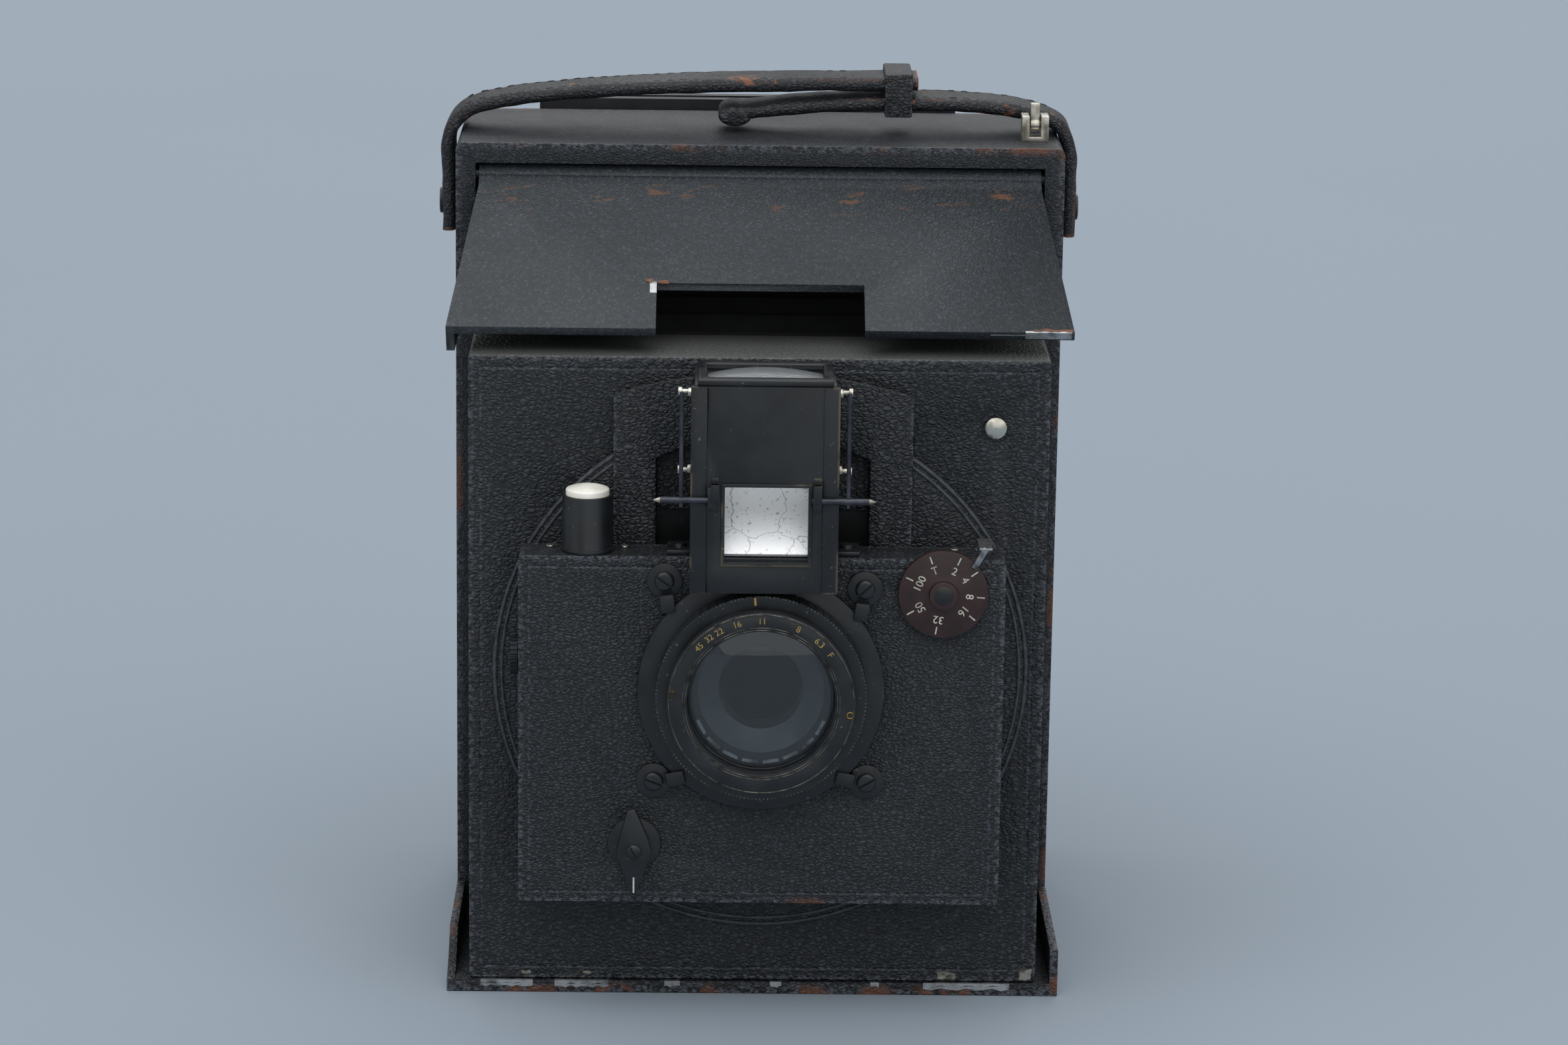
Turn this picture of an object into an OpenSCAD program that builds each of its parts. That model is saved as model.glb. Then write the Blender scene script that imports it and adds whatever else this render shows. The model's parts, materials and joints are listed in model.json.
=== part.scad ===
// Leather-covered plate camera: an upright case with hinged flaps above and below,
// a front box that slides out on the base flap, a revolving rising front, a
// pneumatic between-lens shutter, a two-cell lens and a folding reflecting finder.
// Front faces -Y, +X is the viewer's right, +Z is up.
// The origin is on the underside, below the middle of the case.

/* [Case] */
// Outside width of the case
case_w = 153; // [150:1:170]
// Outside height of the case
case_h = 206; // [203:1:220]
// Outside depth of the case
case_d = 54; // [50:1:70]
// Thickness of the case walls
case_wall = 5; // [4:0.5:6]
// Radius of the rounded case edges
case_round = 2; // [1:0.5:3]
// Depth of the frame on the back of the case
back_frame_d = 3; // [2:0.5:5]

/* [Front box] */
// How far the front board stands in front of the case
reach = 50.5; // [48:0.5:54]
// Height of the front box
front_h = 159.3; // [158:0.5:162]
// Depth of the front box from board to open rear
front_d = 26.5; // [24:0.5:30]
// Thickness of the front board
board_t = 6; // [5:0.5:8]
// Side, top and bottom walls of the front box
front_wall = 4; // [3:0.5:5]
// Radius of the nickel latch button
button_r = 2.7; // [2:0.1:3.5]

/* [Flaps] */
// Thickness of the base flap
base_t = 3; // [2.5:0.5:4]
// Height of the lips along the base flap
base_lip_h = 9; // [5:1:12]
// Thickness of a flap's lips
lip_t = 2; // [1.5:0.5:2.5]
// Thickness of the top flap
flap_t = 2.4; // [2:0.2:3]
// Depth of the top flap from its hinge to its front edge, in plan
flap_run = 50; // [46:1:50]
// Fall of the top flap over that run
flap_fall = 29.8; // [28:0.2:30]
// How far the top flap's lips hang below it
flap_lip = 5.6; // [4:0.2:6]
// Width of the finder notch in the top flap
notch_w = 51; // [50:1:56]
// Depth of the finder notch along the flap
notch_run = 16.5; // [15:0.5:20]

/* [Revolving front] */
// Board left uncovered on each side of the revolving disc
disc_margin = 4.9; // [4:0.1:7]
// Width of the disc's rim outside its spigot in the front board
disc_rim = 7; // [6:0.5:10]
// How far the disc stands out from the board
disc_t = 1.5; // [1:0.1:2]
// Height of the disc's centre above the middle of the board
disc_lift = 1.05; // [0.55:0.5:1.55]
// Width of the raised strip that guides the rise
strip_w = 73; // [70:1:76]
// Thickness of the raised strip
strip_t = 1.2; // [1:0.1:1.6]
// Width of the channel for the rise plate
channel_w = 52; // [50:1:54]

/* [Shutter] */
// Width of the shutter box
shutter_w = 118; // [116:1:120]
// Height of the shutter box
shutter_h = 87.6; // [86:0.2:89]
// How far the shutter box reaches below the middle of the lens
shutter_drop = 54.8; // [53:0.2:56]
// Depth of the shutter box
shutter_d = 13.5; // [12:0.5:15]
// Wall of the shutter box
shutter_wall = 2.5; // [2:0.5:3]
// Radius of the speed dial
dial_r = 10.9; // [9:0.1:12]
// Radius of the pneumatic cylinder
pump_r = 6.1; // [5:0.1:6.5]
// Height of the pneumatic cylinder above the shutter box
pump_h = 14; // [10:0.5:15]
// Radius of the milled side wheel
wheel_r = 4.7; // [4:0.1:5.5]

/* [Lens] */
// Radius of the lens flange plate
flange_r = 30; // [29:0.5:31]
// Radius of the milled iris ring
ring_r = 25.6; // [25:0.1:25.8]
// Radius of the front glass
glass_r = 17.9; // [16:0.1:18.5]
// Length of the lens in front of the flange
lens_len = 11; // [9:0.5:12]
// Wall radius of the lens barrel
barrel_r = 21.5; // [20:0.5:22]

/* [Finder] */
// Width of the finder
finder_w = 35.6; // [34:0.2:37]
// Height of the finder's front panel
finder_h = 50.8; // [49:0.2:52]
// Wall of the finder body
finder_wall = 1.4; // [1:0.2:2]

/* [Strap and back] */
// Width of the carrying strap
strap_w = 16; // [12:1:20]
// Thickness of the carrying strap
strap_t = 3.4; // [2.4:0.2:3.6]
// Thickness of the plate holder
holder_d = 12; // [11:0.5:14]
// Thickness of each sheath
sheath_t = 1.2; // [1:0.1:1.5]
// Radius of the tripod bush's tapped hole
tripod_r = 3.97; // [3:0.01:4.5]
// Length of the tripod bush below its flange
tripod_len = 5; // [4:0.5:6]

/* [Clearances] */
// Gap between pieces that move past each other
slide_gap = 0.3; // [0.3:0.05:0.5]
// Radial gap of a shaft in its bore
shaft_gap = 0.05; // [0.02:0.01:0.1]

/* [Hidden] */

$fn = 64;
eps = 0.01;
leather = "#25282c";
metal_black = "#1a1d20";
nickel = "#c9c7bd";
brass = "#a88f55";

case_front = -case_d / 2;
case_back = case_d / 2;
inner_w = case_w - 2 * case_wall;
front_w = inner_w - 4 * slide_gap;
board_y = case_front - reach;
front_z = base_t + slide_gap;
front_top = front_z + front_h;
board_back = board_y + board_t;
mid_x = 1;
disc_z = front_z + front_h / 2 + disc_lift;
disc_r = front_w / 2 - disc_margin;
spigot_r = disc_r - disc_rim;
lens_z = disc_z;
shutter_z = lens_z - shutter_drop;
button_x = front_w / 2 - 13.3;
button_z = front_top - 16.6;

// Flap hinge line and the tilt of the top flap
hinge_y = case_front + 3;
hinge_r = 1.5;
knuckle_r = 2.8;
hinge_z = case_h - case_wall - knuckle_r - 0.4;
flap_len = sqrt(flap_run * flap_run + flap_fall * flap_fall);
flap_tilt = atan2(flap_fall, flap_run);
flap_rear_w = inner_w - 6 * slide_gap;
flap_front_w = case_w;

// Stack of the revolving front, counted forwards from the board
disc_y = board_y - slide_gap;
disc_face = disc_y - disc_t;
strip_face = disc_face - strip_t;
shutter_back_y = strip_face - slide_gap;
shutter_face = shutter_back_y - shutter_d;
shutter_top = shutter_z + shutter_h;
shutter_mid_y = (shutter_back_y + shutter_face) / 2;
strip_top = front_top - 3;
strip_arc_r = 120;
recess_top = disc_z + 60;
recess_d = 2;
rise_travel = 10;
tongue_h = 60;
tongue_z = lens_z - tongue_h / 2;
channel_bottom = tongue_z - rise_travel;
channel_top = tongue_z + tongue_h + rise_travel;
keeper_t = 1.5;
plate_t = 1.5;

// Shutter fittings
shaft_r = 1.5;
knob_x = mid_x - 30.6;
knob_z = shutter_z + 13.8;
knob_t = 2.4;
washer_r = 6.5;
washer_t = 0.8;
dial_x = mid_x + 43.8;
dial_z = shutter_top - 8.1;
dial_t = 2;
hub_r = 3.5;
pump_x = mid_x - 42.5;
cap_r = pump_r - 0.8;
cap_travel = 1.5;
wheel_z = lens_z + 6;
wheel_t = 1.8;

// Lens stack, counted forwards from the shutter face
flange_t = 2.5;
flange_face = shutter_face - flange_t;
ring_t = 6;
ring_y = flange_face - slide_gap;
ring_face = ring_y - ring_t;
lens_face = flange_face - lens_len;
cell_wall = 2;
rear_cell_r = barrel_r - 4.5;
rear_glass_r = rear_cell_r - cell_wall;
lens_rear = board_back + 10;
clamp_spots = [[mid_x - 23.6, lens_z + 27.2], [mid_x + 24.9, lens_z + 25.6],
    [mid_x - 25.9, lens_z - 23.3], [mid_x + 26, lens_z - 23.2]];
washer_big_r = 4.3;
clamp_head_r = 2.4;

// Finder places
finder_x = 1.2;
finder_z0 = lens_z + ring_r + 0.7;
finder_top = finder_z0 + finder_h;
finder_face = shutter_face - 9;
panel_t = 2;
finder_seat_z = shutter_top + 0.4;
finder_rear = strip_face - slide_gap;
window_w = finder_w - 15.6;
window_z0 = finder_z0 + 7.7;
window_h = 18.6;
pin_z = window_z0 + 15.6;
pin_r = 0.8;
arm_r = 0.5;
arm_x = finder_w / 2 + 2.2;
glass_w = finder_w - 7.6;

// Strap places
strap_y = 0;
stud_z = case_h - 19.5;
stud_r = 3.3;
stud_len = strap_t + 2;
strap_side = case_w / 2 + 1;

module y_cylinder(r, from_y, to_y, x, z) {
    translate([x, to_y, z])
        rotate([90, 0, 0])
            cylinder(r = r, h = to_y - from_y);
}

module x_cylinder(r, from_x, to_x, y, z) {
    translate([from_x, y, z])
        rotate([0, 90, 0])
            cylinder(r = r, h = to_x - from_x);
}

module slab(x0, x1, y0, y1, z0, z1) {
    translate([x0, y0, z0])
        cube([x1 - x0, y1 - y0, z1 - z0]);
}

// Upright block with rounded edges along Y, between two depths
module rounded_front(w, h, y0, y1, z0, r, x = 0) {
    translate([x, y1, z0 + h / 2])
        rotate([90, 0, 0])
            linear_extrude(y1 - y0)
                rounded_outline(w, h, r);
}

module rounded_outline(w, h, r) {
    square([w - 2 * r, h], center = true);
    square([w, h - 2 * r], center = true);
    for (sx = [-1, 1], sz = [-1, 1])
        translate([sx * (w / 2 - r), sz * (h / 2 - r)])
            circle(r = r, $fn = 24);
}

// Case
module case_shell() {
    color(leather)
        difference() {
            rounded_front(case_w, case_h, case_front, case_back, 0, case_round);
            slab(-inner_w / 2, inner_w / 2, case_front - 1, case_back + 1, case_wall, case_h - case_wall);
            // The mouth runs down to the base flap, so that the front box slides in level
            slab(-inner_w / 2, inner_w / 2, case_front - 1, case_back - case_wall, base_t, case_wall + 1);
            // Holes for the top flap's hinge pin
            x_cylinder(hinge_r + shaft_gap, -inner_w / 2 - 3, inner_w / 2 + 3, hinge_y, hinge_z);
            // Pocket for the base flap's hinge
            x_cylinder(base_t / 2 + slide_gap, -inner_w / 2, inner_w / 2, case_front, base_t / 2);
            slab(-inner_w / 2, inner_w / 2, case_front - 1, case_front + 2, -1, base_t + 1);
            bush_seats();
        }
}

bush_r = 7;
bush_flange_r = 9;
module bush_seats() {
    translate([0, 0, -1])
        cylinder(r = bush_r, h = case_wall + 2);
    x_cylinder(bush_r, -case_w / 2 - 1, -inner_w / 2 + 1, 0, case_h / 2);
}

back_open_w = case_w - 31;
back_open_h = case_h - 39;
back_open_z = (case_h - back_open_h) / 2;
module back_frame() {
    color(metal_black)
        difference() {
            rounded_front(case_w - 4, case_h - 4, case_back, case_back + back_frame_d, 2, case_round);
            slab(-back_open_w / 2, back_open_w / 2, case_back - 1, case_back + back_frame_d + 1,
                back_open_z, back_open_z + back_open_h);
        }
}

holder_y0 = case_back + back_frame_d;
holder_y1 = holder_y0 + holder_d;
holder_w = case_w - 15;
holder_z0 = 6;
holder_z1 = case_h - 4;
slot_w = holder_w - 12;
slot_z0 = 14;
plate_w = slot_w - 7;
plate_h = 163;
plate_z0 = (holder_z0 + holder_z1 - plate_h) / 2;
front_slot_y = holder_y0 + 2;
rear_slot_y = holder_y1 - 2 - sheath_t - 2 * slide_gap;
slot_d = sheath_t + 2 * slide_gap;
module plate_holder() {
    color("#2a2422")
        difference() {
            slab(-holder_w / 2, holder_w / 2, holder_y0, holder_y1, holder_z0, holder_z1);
            for (y = [front_slot_y, rear_slot_y])
                slab(-slot_w / 2, slot_w / 2, y, y + slot_d, slot_z0, holder_z1 + 1);
            slab(-plate_w / 2, plate_w / 2, holder_y0 - 1, front_slot_y + 1, plate_z0, plate_z0 + plate_h);
            slab(-plate_w / 2, plate_w / 2, rear_slot_y, holder_y1 + 1, plate_z0, plate_z0 + plate_h);
        }
}

rail_w = slot_w - 17;
rail_h = 3.4;
sheath_travel = 160;
module sheath(y) {
    sheath_w = slot_w - 4 * slide_gap;
    front = y + slide_gap;
    rail_z = holder_z1 + slide_gap;
    slab(-sheath_w / 2, sheath_w / 2, front, front + sheath_t, slot_z0 + slide_gap, holder_z1 + 2);
    slab(-rail_w / 2 - 3, rail_w / 2 - 3, front - 1, front + sheath_t + 1, rail_z, rail_z + rail_h + 2.6);
}

module front_sheath() {
    color(metal_black) sheath(front_slot_y);
}

module rear_sheath() {
    color(metal_black) sheath(rear_slot_y);
}

// Pleated bellows between the back of the front box and the back of the case
bellows_y0 = board_y + front_d + slide_gap;
bellows_y1 = case_back;
pleats = 12;
pleat_d = 5;
bellows_w = inner_w - 9;
bellows_front_h = front_h - 11.3;
bellows_back_h = case_h - 24;
bellows_front_z = front_z + front_h / 2;
bellows_back_z = case_h / 2;
bellows_t = 1.2;

function ring_points(y, w, h, z, inset) = let (c = 8) [
    [-w / 2 + inset, y, z - h / 2 + c], [-w / 2 + c, y, z - h / 2 + inset],
    [w / 2 - c, y, z - h / 2 + inset], [w / 2 - inset, y, z - h / 2 + c],
    [w / 2 - inset, y, z + h / 2 - c], [w / 2 - c, y, z + h / 2 - inset],
    [-w / 2 + c, y, z + h / 2 - inset], [-w / 2 + inset, y, z + h / 2 - c]];

function bellows_ring(i, wall) =
    let (s = i / (2 * pleats),
        y = bellows_y0 + s * (bellows_y1 - bellows_y0),
        h = bellows_front_h + s * (bellows_back_h - bellows_front_h),
        z = bellows_front_z + s * (bellows_back_z - bellows_front_z))
    ring_points(y, bellows_w, h, z, (i % 2 == 0 ? pleat_d : 0) + wall);

module bellows() {
    rings = 2 * pleats + 1;
    outer = [for (i = [0:rings - 1]) each bellows_ring(i, 0)];
    inner = [for (i = [0:rings - 1]) each bellows_ring(i, bellows_t)];
    n = 8;
    all_points = concat(outer, inner);
    shift = rings * n;
    walls = [for (i = [0:rings - 2], k = [0:n - 1])
        let (a = i * n + k, b = i * n + (k + 1) % n)
        each [[a, b, b + n], [a, b + n, a + n],
            [shift + a, shift + b + n, shift + b], [shift + a, shift + a + n, shift + b + n]]];
    last = (rings - 1) * n;
    ends = [for (k = [0:n - 1])
        let (a = k, b = (k + 1) % n)
        each [[a, shift + b, b], [a, shift + a, shift + b],
            [last + a, last + b, shift + last + b], [last + a, shift + last + b, shift + last + a]]];
    color("#17181a") polyhedron(points = all_points, faces = concat(walls, ends), convexity = 10);
}

module base_tripod_bush() {
    color(brass)
        difference() {
            union() {
                cylinder(r = bush_r, h = tripod_len);
                translate([0, 0, tripod_len - eps])
                    cylinder(r = bush_flange_r, h = 1 + eps);
            }
            translate([0, 0, -1])
                cylinder(r = tripod_r, h = tripod_len + 3);
        }
}

module side_tripod_bush() {
    color(brass)
        difference() {
            union() {
                x_cylinder(bush_r, -case_w / 2, -inner_w / 2 + eps, 0, case_h / 2);
                x_cylinder(bush_flange_r, -inner_w / 2, -inner_w / 2 + 0.4, 0, case_h / 2);
            }
            x_cylinder(tripod_r, -case_w / 2 - 1, -inner_w / 2 + 2, 0, case_h / 2);
        }
}

screw_r = 2.2;
module case_screws() {
    color(nickel)
        for (s = [-1, 1], z = [12, case_h / 2, case_h - 12])
            y_cylinder(screw_r, case_back + back_frame_d, case_back + back_frame_d + 0.8,
                s * (holder_w / 2 + screw_r + 0.6), z);
}

// Flaps
base_run = reach + 1;
base_front = case_front - base_run;
broken_run = 16;

// One lip, with its front end broken away over a given length
module base_lip(x, broken) {
    translate([x, 0, 0])
        rotate([90, 0, 90])
            linear_extrude(lip_t)
                polygon([[base_front, base_t - eps], [base_front + broken * 0.4, base_t + 2],
                    [base_front + broken, base_t + base_lip_h], [case_front - slide_gap, base_t + base_lip_h],
                    [case_front - slide_gap, base_t - eps]]);
}

module base_flap() {
    color(leather) {
        slab(-case_w / 2, case_w / 2, base_front, case_front - slide_gap, 0, base_t);
        base_lip(case_w / 2 - lip_t, 0);
        base_lip(-case_w / 2, broken_run);
        slab(-inner_w / 2 + 2, inner_w / 2 - 2, case_front - slide_gap - eps, case_front + 1.6,
            0, base_t - 0.4);
    }
}

module flap_hinge_pin() {
    color(metal_black)
        x_cylinder(hinge_r, -inner_w / 2 - 2.8, inner_w / 2 + 2.8, hinge_y, hinge_z);
}

module top_flap() {
    color(leather)
        translate([0, hinge_y, hinge_z])
            rotate([flap_tilt, 0, 0])
                difference() {
                    union() {
                        translate([0, 0, -flap_t / 2])
                            linear_extrude(flap_t)
                                flap_outline();
                        flap_side_lip(-1);
                        x_cylinder(knuckle_r, -flap_rear_w / 2, flap_rear_w / 2, 0, 0);
                    }
                    x_cylinder(hinge_r + shaft_gap, -case_w, case_w, 0, 0);
                }
}

flap_plate_len = flap_len;
module flap_outline() {
    difference() {
        polygon([[-flap_rear_w / 2, 0], [flap_rear_w / 2, 0],
            [flap_rear_w / 2, -6], [flap_front_w / 2, -flap_plate_len],
            [-flap_front_w / 2, -flap_plate_len], [-flap_rear_w / 2, -6]]);
        translate([-notch_w / 2, -flap_plate_len - 1])
            square([notch_w, notch_run + 1]);
    }
}

module flap_side_lip(s) {
    lip_back = -26;
    share = (-lip_back - 6) / (flap_plate_len - 6);
    back_x = flap_rear_w / 2 + share * (flap_front_w - flap_rear_w) / 2;
    translate([0, 0, -flap_t / 2 - flap_lip])
        linear_extrude(flap_lip + flap_t / 2)
            polygon([[s * flap_front_w / 2, -flap_plate_len],
                [s * (flap_front_w / 2 - lip_t), -flap_plate_len],
                [s * (back_x - lip_t), lip_back], [s * back_x, lip_back]]);
}

// Strap
module strap_studs() {
    color(metal_black)
        for (s = [-1, 1]) {
            x0 = s > 0 ? case_w / 2 : -case_w / 2 - stud_len;
            x_cylinder(stud_r - 1, x0, x0 + stud_len, strap_y, stud_z);
            cap = s > 0 ? case_w / 2 + stud_len - 1 : -case_w / 2 - stud_len;
            x_cylinder(stud_r, cap, cap + 1, strap_y, stud_z);
        }
}

// A leather band that follows its route's points in the X-Z plane, with mitred bends
function unit(v) = v / norm(v);
function half_step(route, i, t) =
    let (a = i > 0 ? unit(route[i] - route[i - 1]) : unit(route[1] - route[0]),
        b = i < len(route) - 1 ? unit(route[i + 1] - route[i]) : a,
        m = unit(a + b),
        s = t / 2 / (m * a))
    [-m[1] * s, m[0] * s];

module band(route, t, w, y) {
    last = len(route) - 1;
    outer = [for (i = [0:last]) route[i] + half_step(route, i, t)];
    inner = [for (i = [last:-1:0]) route[i] - half_step(route, i, t)];
    translate([0, y + w / 2, 0])
        rotate([90, 0, 0])
            linear_extrude(w)
                polygon(concat(outer, inner));
}

long_z = case_h + 12.8;
short_z = case_h + 7.9;
long_side = -strap_side - strap_t / 2;
short_side = strap_side + strap_t / 2;
long_route = [[long_side, case_h - 26], [long_side, case_h - 10], [long_side - 0.8, case_h - 3],
    [long_side + 1.7, case_h + 2.5], [long_side + 6.7, case_h + 6], [long_side + 16.7, case_h + 8],
    [long_side + 33.7, case_h + 10], [-20, long_z - 1.2], [0, long_z - 0.6],
    [20, long_z - 0.2], [40, long_z]];
short_route = [[short_side, case_h - 26], [short_side, case_h - 9], [short_side, case_h - 3],
    [short_side - 2.4, case_h + 2.8], [short_side - 8.7, case_h + 5.3], [short_side - 16.7, case_h + 6.8],
    [50, short_z - 0.1], [36, short_z], [20, short_z - 0.5], [6, short_z - 1.7], [-6, short_z - 3.3]];

module long_strap() {
    color(leather)
        difference() {
            band(long_route, strap_t, strap_w, strap_y);
            x_cylinder(stud_r - 1, -case_w, 0, strap_y, stud_z);
        }
}

module short_strap() {
    color(leather)
        difference() {
            union() {
                band(short_route, strap_t, strap_w, strap_y);
                y_cylinder(2.6, strap_y - strap_w / 2, strap_y + strap_w / 2, -6.5, short_z - 3.7);
            }
            x_cylinder(stud_r - 1, 0, case_w, strap_y, stud_z);
        }
}

keeper_x = 35;
keeper_w = 7;
module strap_keeper() {
    low = short_z - strap_t / 2;
    high = long_z + strap_t / 2;
    color(leather)
        difference() {
            slab(keeper_x - keeper_w / 2, keeper_x + keeper_w / 2, strap_y - strap_w / 2 - 1.6,
                strap_y + strap_w / 2 + 1.6, low - 1.5, high + 1.3);
            slab(keeper_x - keeper_w, keeper_x + keeper_w, strap_y - strap_w / 2 - 0.05,
                strap_y + strap_w / 2 + 0.05, low - 0.1, high + 0.05);
        }
}

// Nickel catch on top that locks the back
catch_x = case_w / 2 - 7;
catch_y = -13;
catch_pin_z = case_h + 4;
module catch_post() {
    color(nickel)
        difference() {
            slab(catch_x - 3.4, catch_x + 3.4, catch_y - 3, catch_y + 3, case_h, case_h + 6.5);
            slab(catch_x - 1.5, catch_x + 1.5, catch_y - 4, catch_y + 4, case_h + 1.2, case_h + 8);
            x_cylinder(0.8, catch_x - 4, catch_x + 4, catch_y, catch_pin_z);
        }
}

module catch_lever() {
    color(nickel) {
        x_cylinder(0.75, catch_x - 3.4, catch_x + 3.4, catch_y, catch_pin_z);
        x_cylinder(1.6, catch_x - 1.2, catch_x + 1.2, catch_y, catch_pin_z);
        slab(catch_x - 1.2, catch_x + 1.2, catch_y - 1, catch_y + 1, catch_pin_z, catch_pin_z + 5.5);
    }
}

// Front box
spigot_gap = 0.1;
rail_x = inner_w / 2 - 7.5;
rail_t = 3;
rail_len = 32;
rear_rim = 12;
rear_rim_t = 3;
module front_box() {
    color(leather)
        difference() {
            rounded_front(front_w, front_h, board_y, board_y + front_d, front_z, 1);
            slab(-front_w / 2 + front_wall, front_w / 2 - front_wall, board_back,
                board_y + front_d - rear_rim_t, front_z + front_wall, front_top - front_wall);
            slab(-front_w / 2 + rear_rim, front_w / 2 - rear_rim, board_back, board_y + front_d + 1,
                front_z + rear_rim, front_top - rear_rim);
            y_cylinder(spigot_r + spigot_gap, board_y - 1, board_back + 1, mid_x, disc_z, $fn = 128);
            y_cylinder(button_r - 0.7 + shaft_gap, board_y - 1, board_back + 1, button_x, button_z);
        }
}

// Two guide bars at the foot of the front box, which run back inside the case
module slide_rails() {
    color(nickel)
        for (s = [-1, 1])
            slab(s * rail_x - rail_t / 2, s * rail_x + rail_t / 2, board_y + front_d,
                board_y + front_d + rail_len, front_z + 1, front_z + 1 + rail_t);
}

module rotate_about(y, z, angle) {
    translate([0, y, z])
        rotate([angle, 0, 0])
            translate([0, -y, -z])
                children();
}

button_travel = 1;
module latch_button() {
    color(nickel) {
        y_cylinder(button_r - 0.7, board_y - 1.3, board_back + 2, button_x, button_z);
        translate([button_x, board_y - button_travel - slide_gap, button_z])
            rotate([90, 0, 0])
                rotate_extrude($fn = 32)
                    intersection() {
                        translate([0, -4.2])
                            circle(r = 5, $fn = 48);
                        square([button_r, 2]);
                    }
    }
}

// Revolving front
module channel_cut(y0, y1) {
    intersection() {
        slab(mid_x - channel_w / 2, mid_x + channel_w / 2, y0, y1, channel_bottom, channel_top);
        y_cylinder(spigot_r, y0, y1, mid_x, disc_z, $fn = 128);
    }
}

// Shallow arched recess above the shutter
module recess_cut() {
    intersection() {
        slab(mid_x - channel_w / 2, mid_x + channel_w / 2, strip_face - 1, disc_y + recess_d,
            channel_bottom, recess_top);
        y_cylinder(spigot_r + 1, strip_face - 1, disc_y + recess_d, mid_x, disc_z, $fn = 128);
    }
}

module revolving_disc() {
    color(leather)
        difference() {
            union() {
                y_cylinder(disc_r, disc_face, disc_y, mid_x, disc_z, $fn = 128);
                y_cylinder(spigot_r, disc_y - eps, board_back + slide_gap, mid_x, disc_z, $fn = 128);
            }
            channel_cut(disc_face - 1, board_back + 1);
            recess_cut();
        }
}

strip_low = shutter_z + 4.8;
module raised_strip() {
    color(leather)
        difference() {
            intersection() {
                slab(mid_x - strip_w / 2, mid_x + strip_w / 2, strip_face, disc_face, strip_low, strip_top);
                y_cylinder(strip_arc_r, strip_face - 1, disc_face + 1, mid_x, strip_top - strip_arc_r,
                    $fn = 180);
            }
            recess_cut();
        }
}

module disc_keeper_ring() {
    color(metal_black)
        difference() {
            y_cylinder(spigot_r + 4, board_back + slide_gap, board_back + slide_gap + keeper_t,
                mid_x, disc_z, $fn = 128);
            y_cylinder(spigot_r - 14, board_back, board_back + slide_gap + keeper_t + 1,
                mid_x, disc_z, $fn = 128);
            channel_cut(board_back, board_back + 4);
        }
}

// Plate that carries the shutter box and slides up and down in the disc's channel
plate_back = board_back + 2 * slide_gap + keeper_t;
module rise_plate() {
    color(metal_black)
        difference() {
            union() {
                slab(mid_x - channel_w / 2 + slide_gap, mid_x + channel_w / 2 - slide_gap,
                    shutter_back_y, plate_back + eps, tongue_z + slide_gap,
                    tongue_z + tongue_h - slide_gap);
                intersection() {
                    slab(mid_x - channel_w / 2 - 2, mid_x + channel_w / 2 + 2, plate_back,
                        plate_back + plate_t, channel_bottom - rise_travel, channel_top + rise_travel);
                    y_cylinder(spigot_r - 4, plate_back - 1, plate_back + plate_t + 1, mid_x, disc_z);
                }
            }
            y_cylinder(barrel_r + 1, shutter_back_y - 1, plate_back + 3, mid_x, lens_z);
        }
}

// Shutter
module shutter_box() {
    color(leather)
        difference() {
            rounded_front(shutter_w, shutter_h, shutter_face, shutter_back_y - 1.2, shutter_z, 1, mid_x);
            slab(mid_x - shutter_w / 2 + shutter_wall, mid_x + shutter_w / 2 - shutter_wall,
                shutter_face + shutter_wall, shutter_back_y, shutter_z + shutter_wall,
                shutter_top - shutter_wall);
            y_cylinder(barrel_r, shutter_face - 1, shutter_back_y, mid_x, lens_z);
            y_cylinder(shaft_r + shaft_gap, shutter_face - 1, shutter_back_y, knob_x, knob_z);
            y_cylinder(shaft_r + shaft_gap, shutter_face - 1, shutter_back_y, dial_x, dial_z);
            x_cylinder(shaft_r + shaft_gap, mid_x - shutter_w / 2 - 1, mid_x - shutter_w / 2 + 4,
                shutter_mid_y, wheel_z);
            translate([pump_x, shutter_mid_y, shutter_top - 4])
                cylinder(r = cap_r - 1.5, h = 5);
        }
}

module shutter_back() {
    color(metal_black)
        difference() {
            slab(mid_x - shutter_w / 2 + 1, mid_x + shutter_w / 2 - 1, shutter_back_y - 1.2, shutter_back_y,
                shutter_z + 1, shutter_top - 1);
            y_cylinder(barrel_r, shutter_back_y - 2, shutter_back_y + 1, mid_x, lens_z);
        }
}

module shutter_screws() {
    color(nickel)
        for (x = [-51.6, -33.5, 46.8, 52.8])
            translate([mid_x + x, shutter_mid_y + 2.5, shutter_top])
                cylinder(r = 1.1, h = 0.6, $fn = 24);
}

knob_y = shutter_face - washer_t - slide_gap;
blade_y = shutter_back_y - 3.4;
blade_t = 0.5;
module shutter_blade() {
    color("#3a3c3e")
        difference() {
            union() {
                y_cylinder(5, blade_y, blade_y + blade_t, knob_x, knob_z);
                translate([knob_x, blade_y + blade_t, knob_z])
                    rotate([90, 0, 0])
                        linear_extrude(blade_t)
                            polygon([[-4.5, 0], [4.5, 0], [8, -6.4], [-2, -9]]);
            }
            y_cylinder(shaft_r, blade_y - 1, blade_y + 1, knob_x, knob_z);
        }
}

module setting_shaft() {
    color(brass)
        y_cylinder(shaft_r, knob_y - knob_t - 0.3, blade_y + 1.5, knob_x, knob_z);
}

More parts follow.
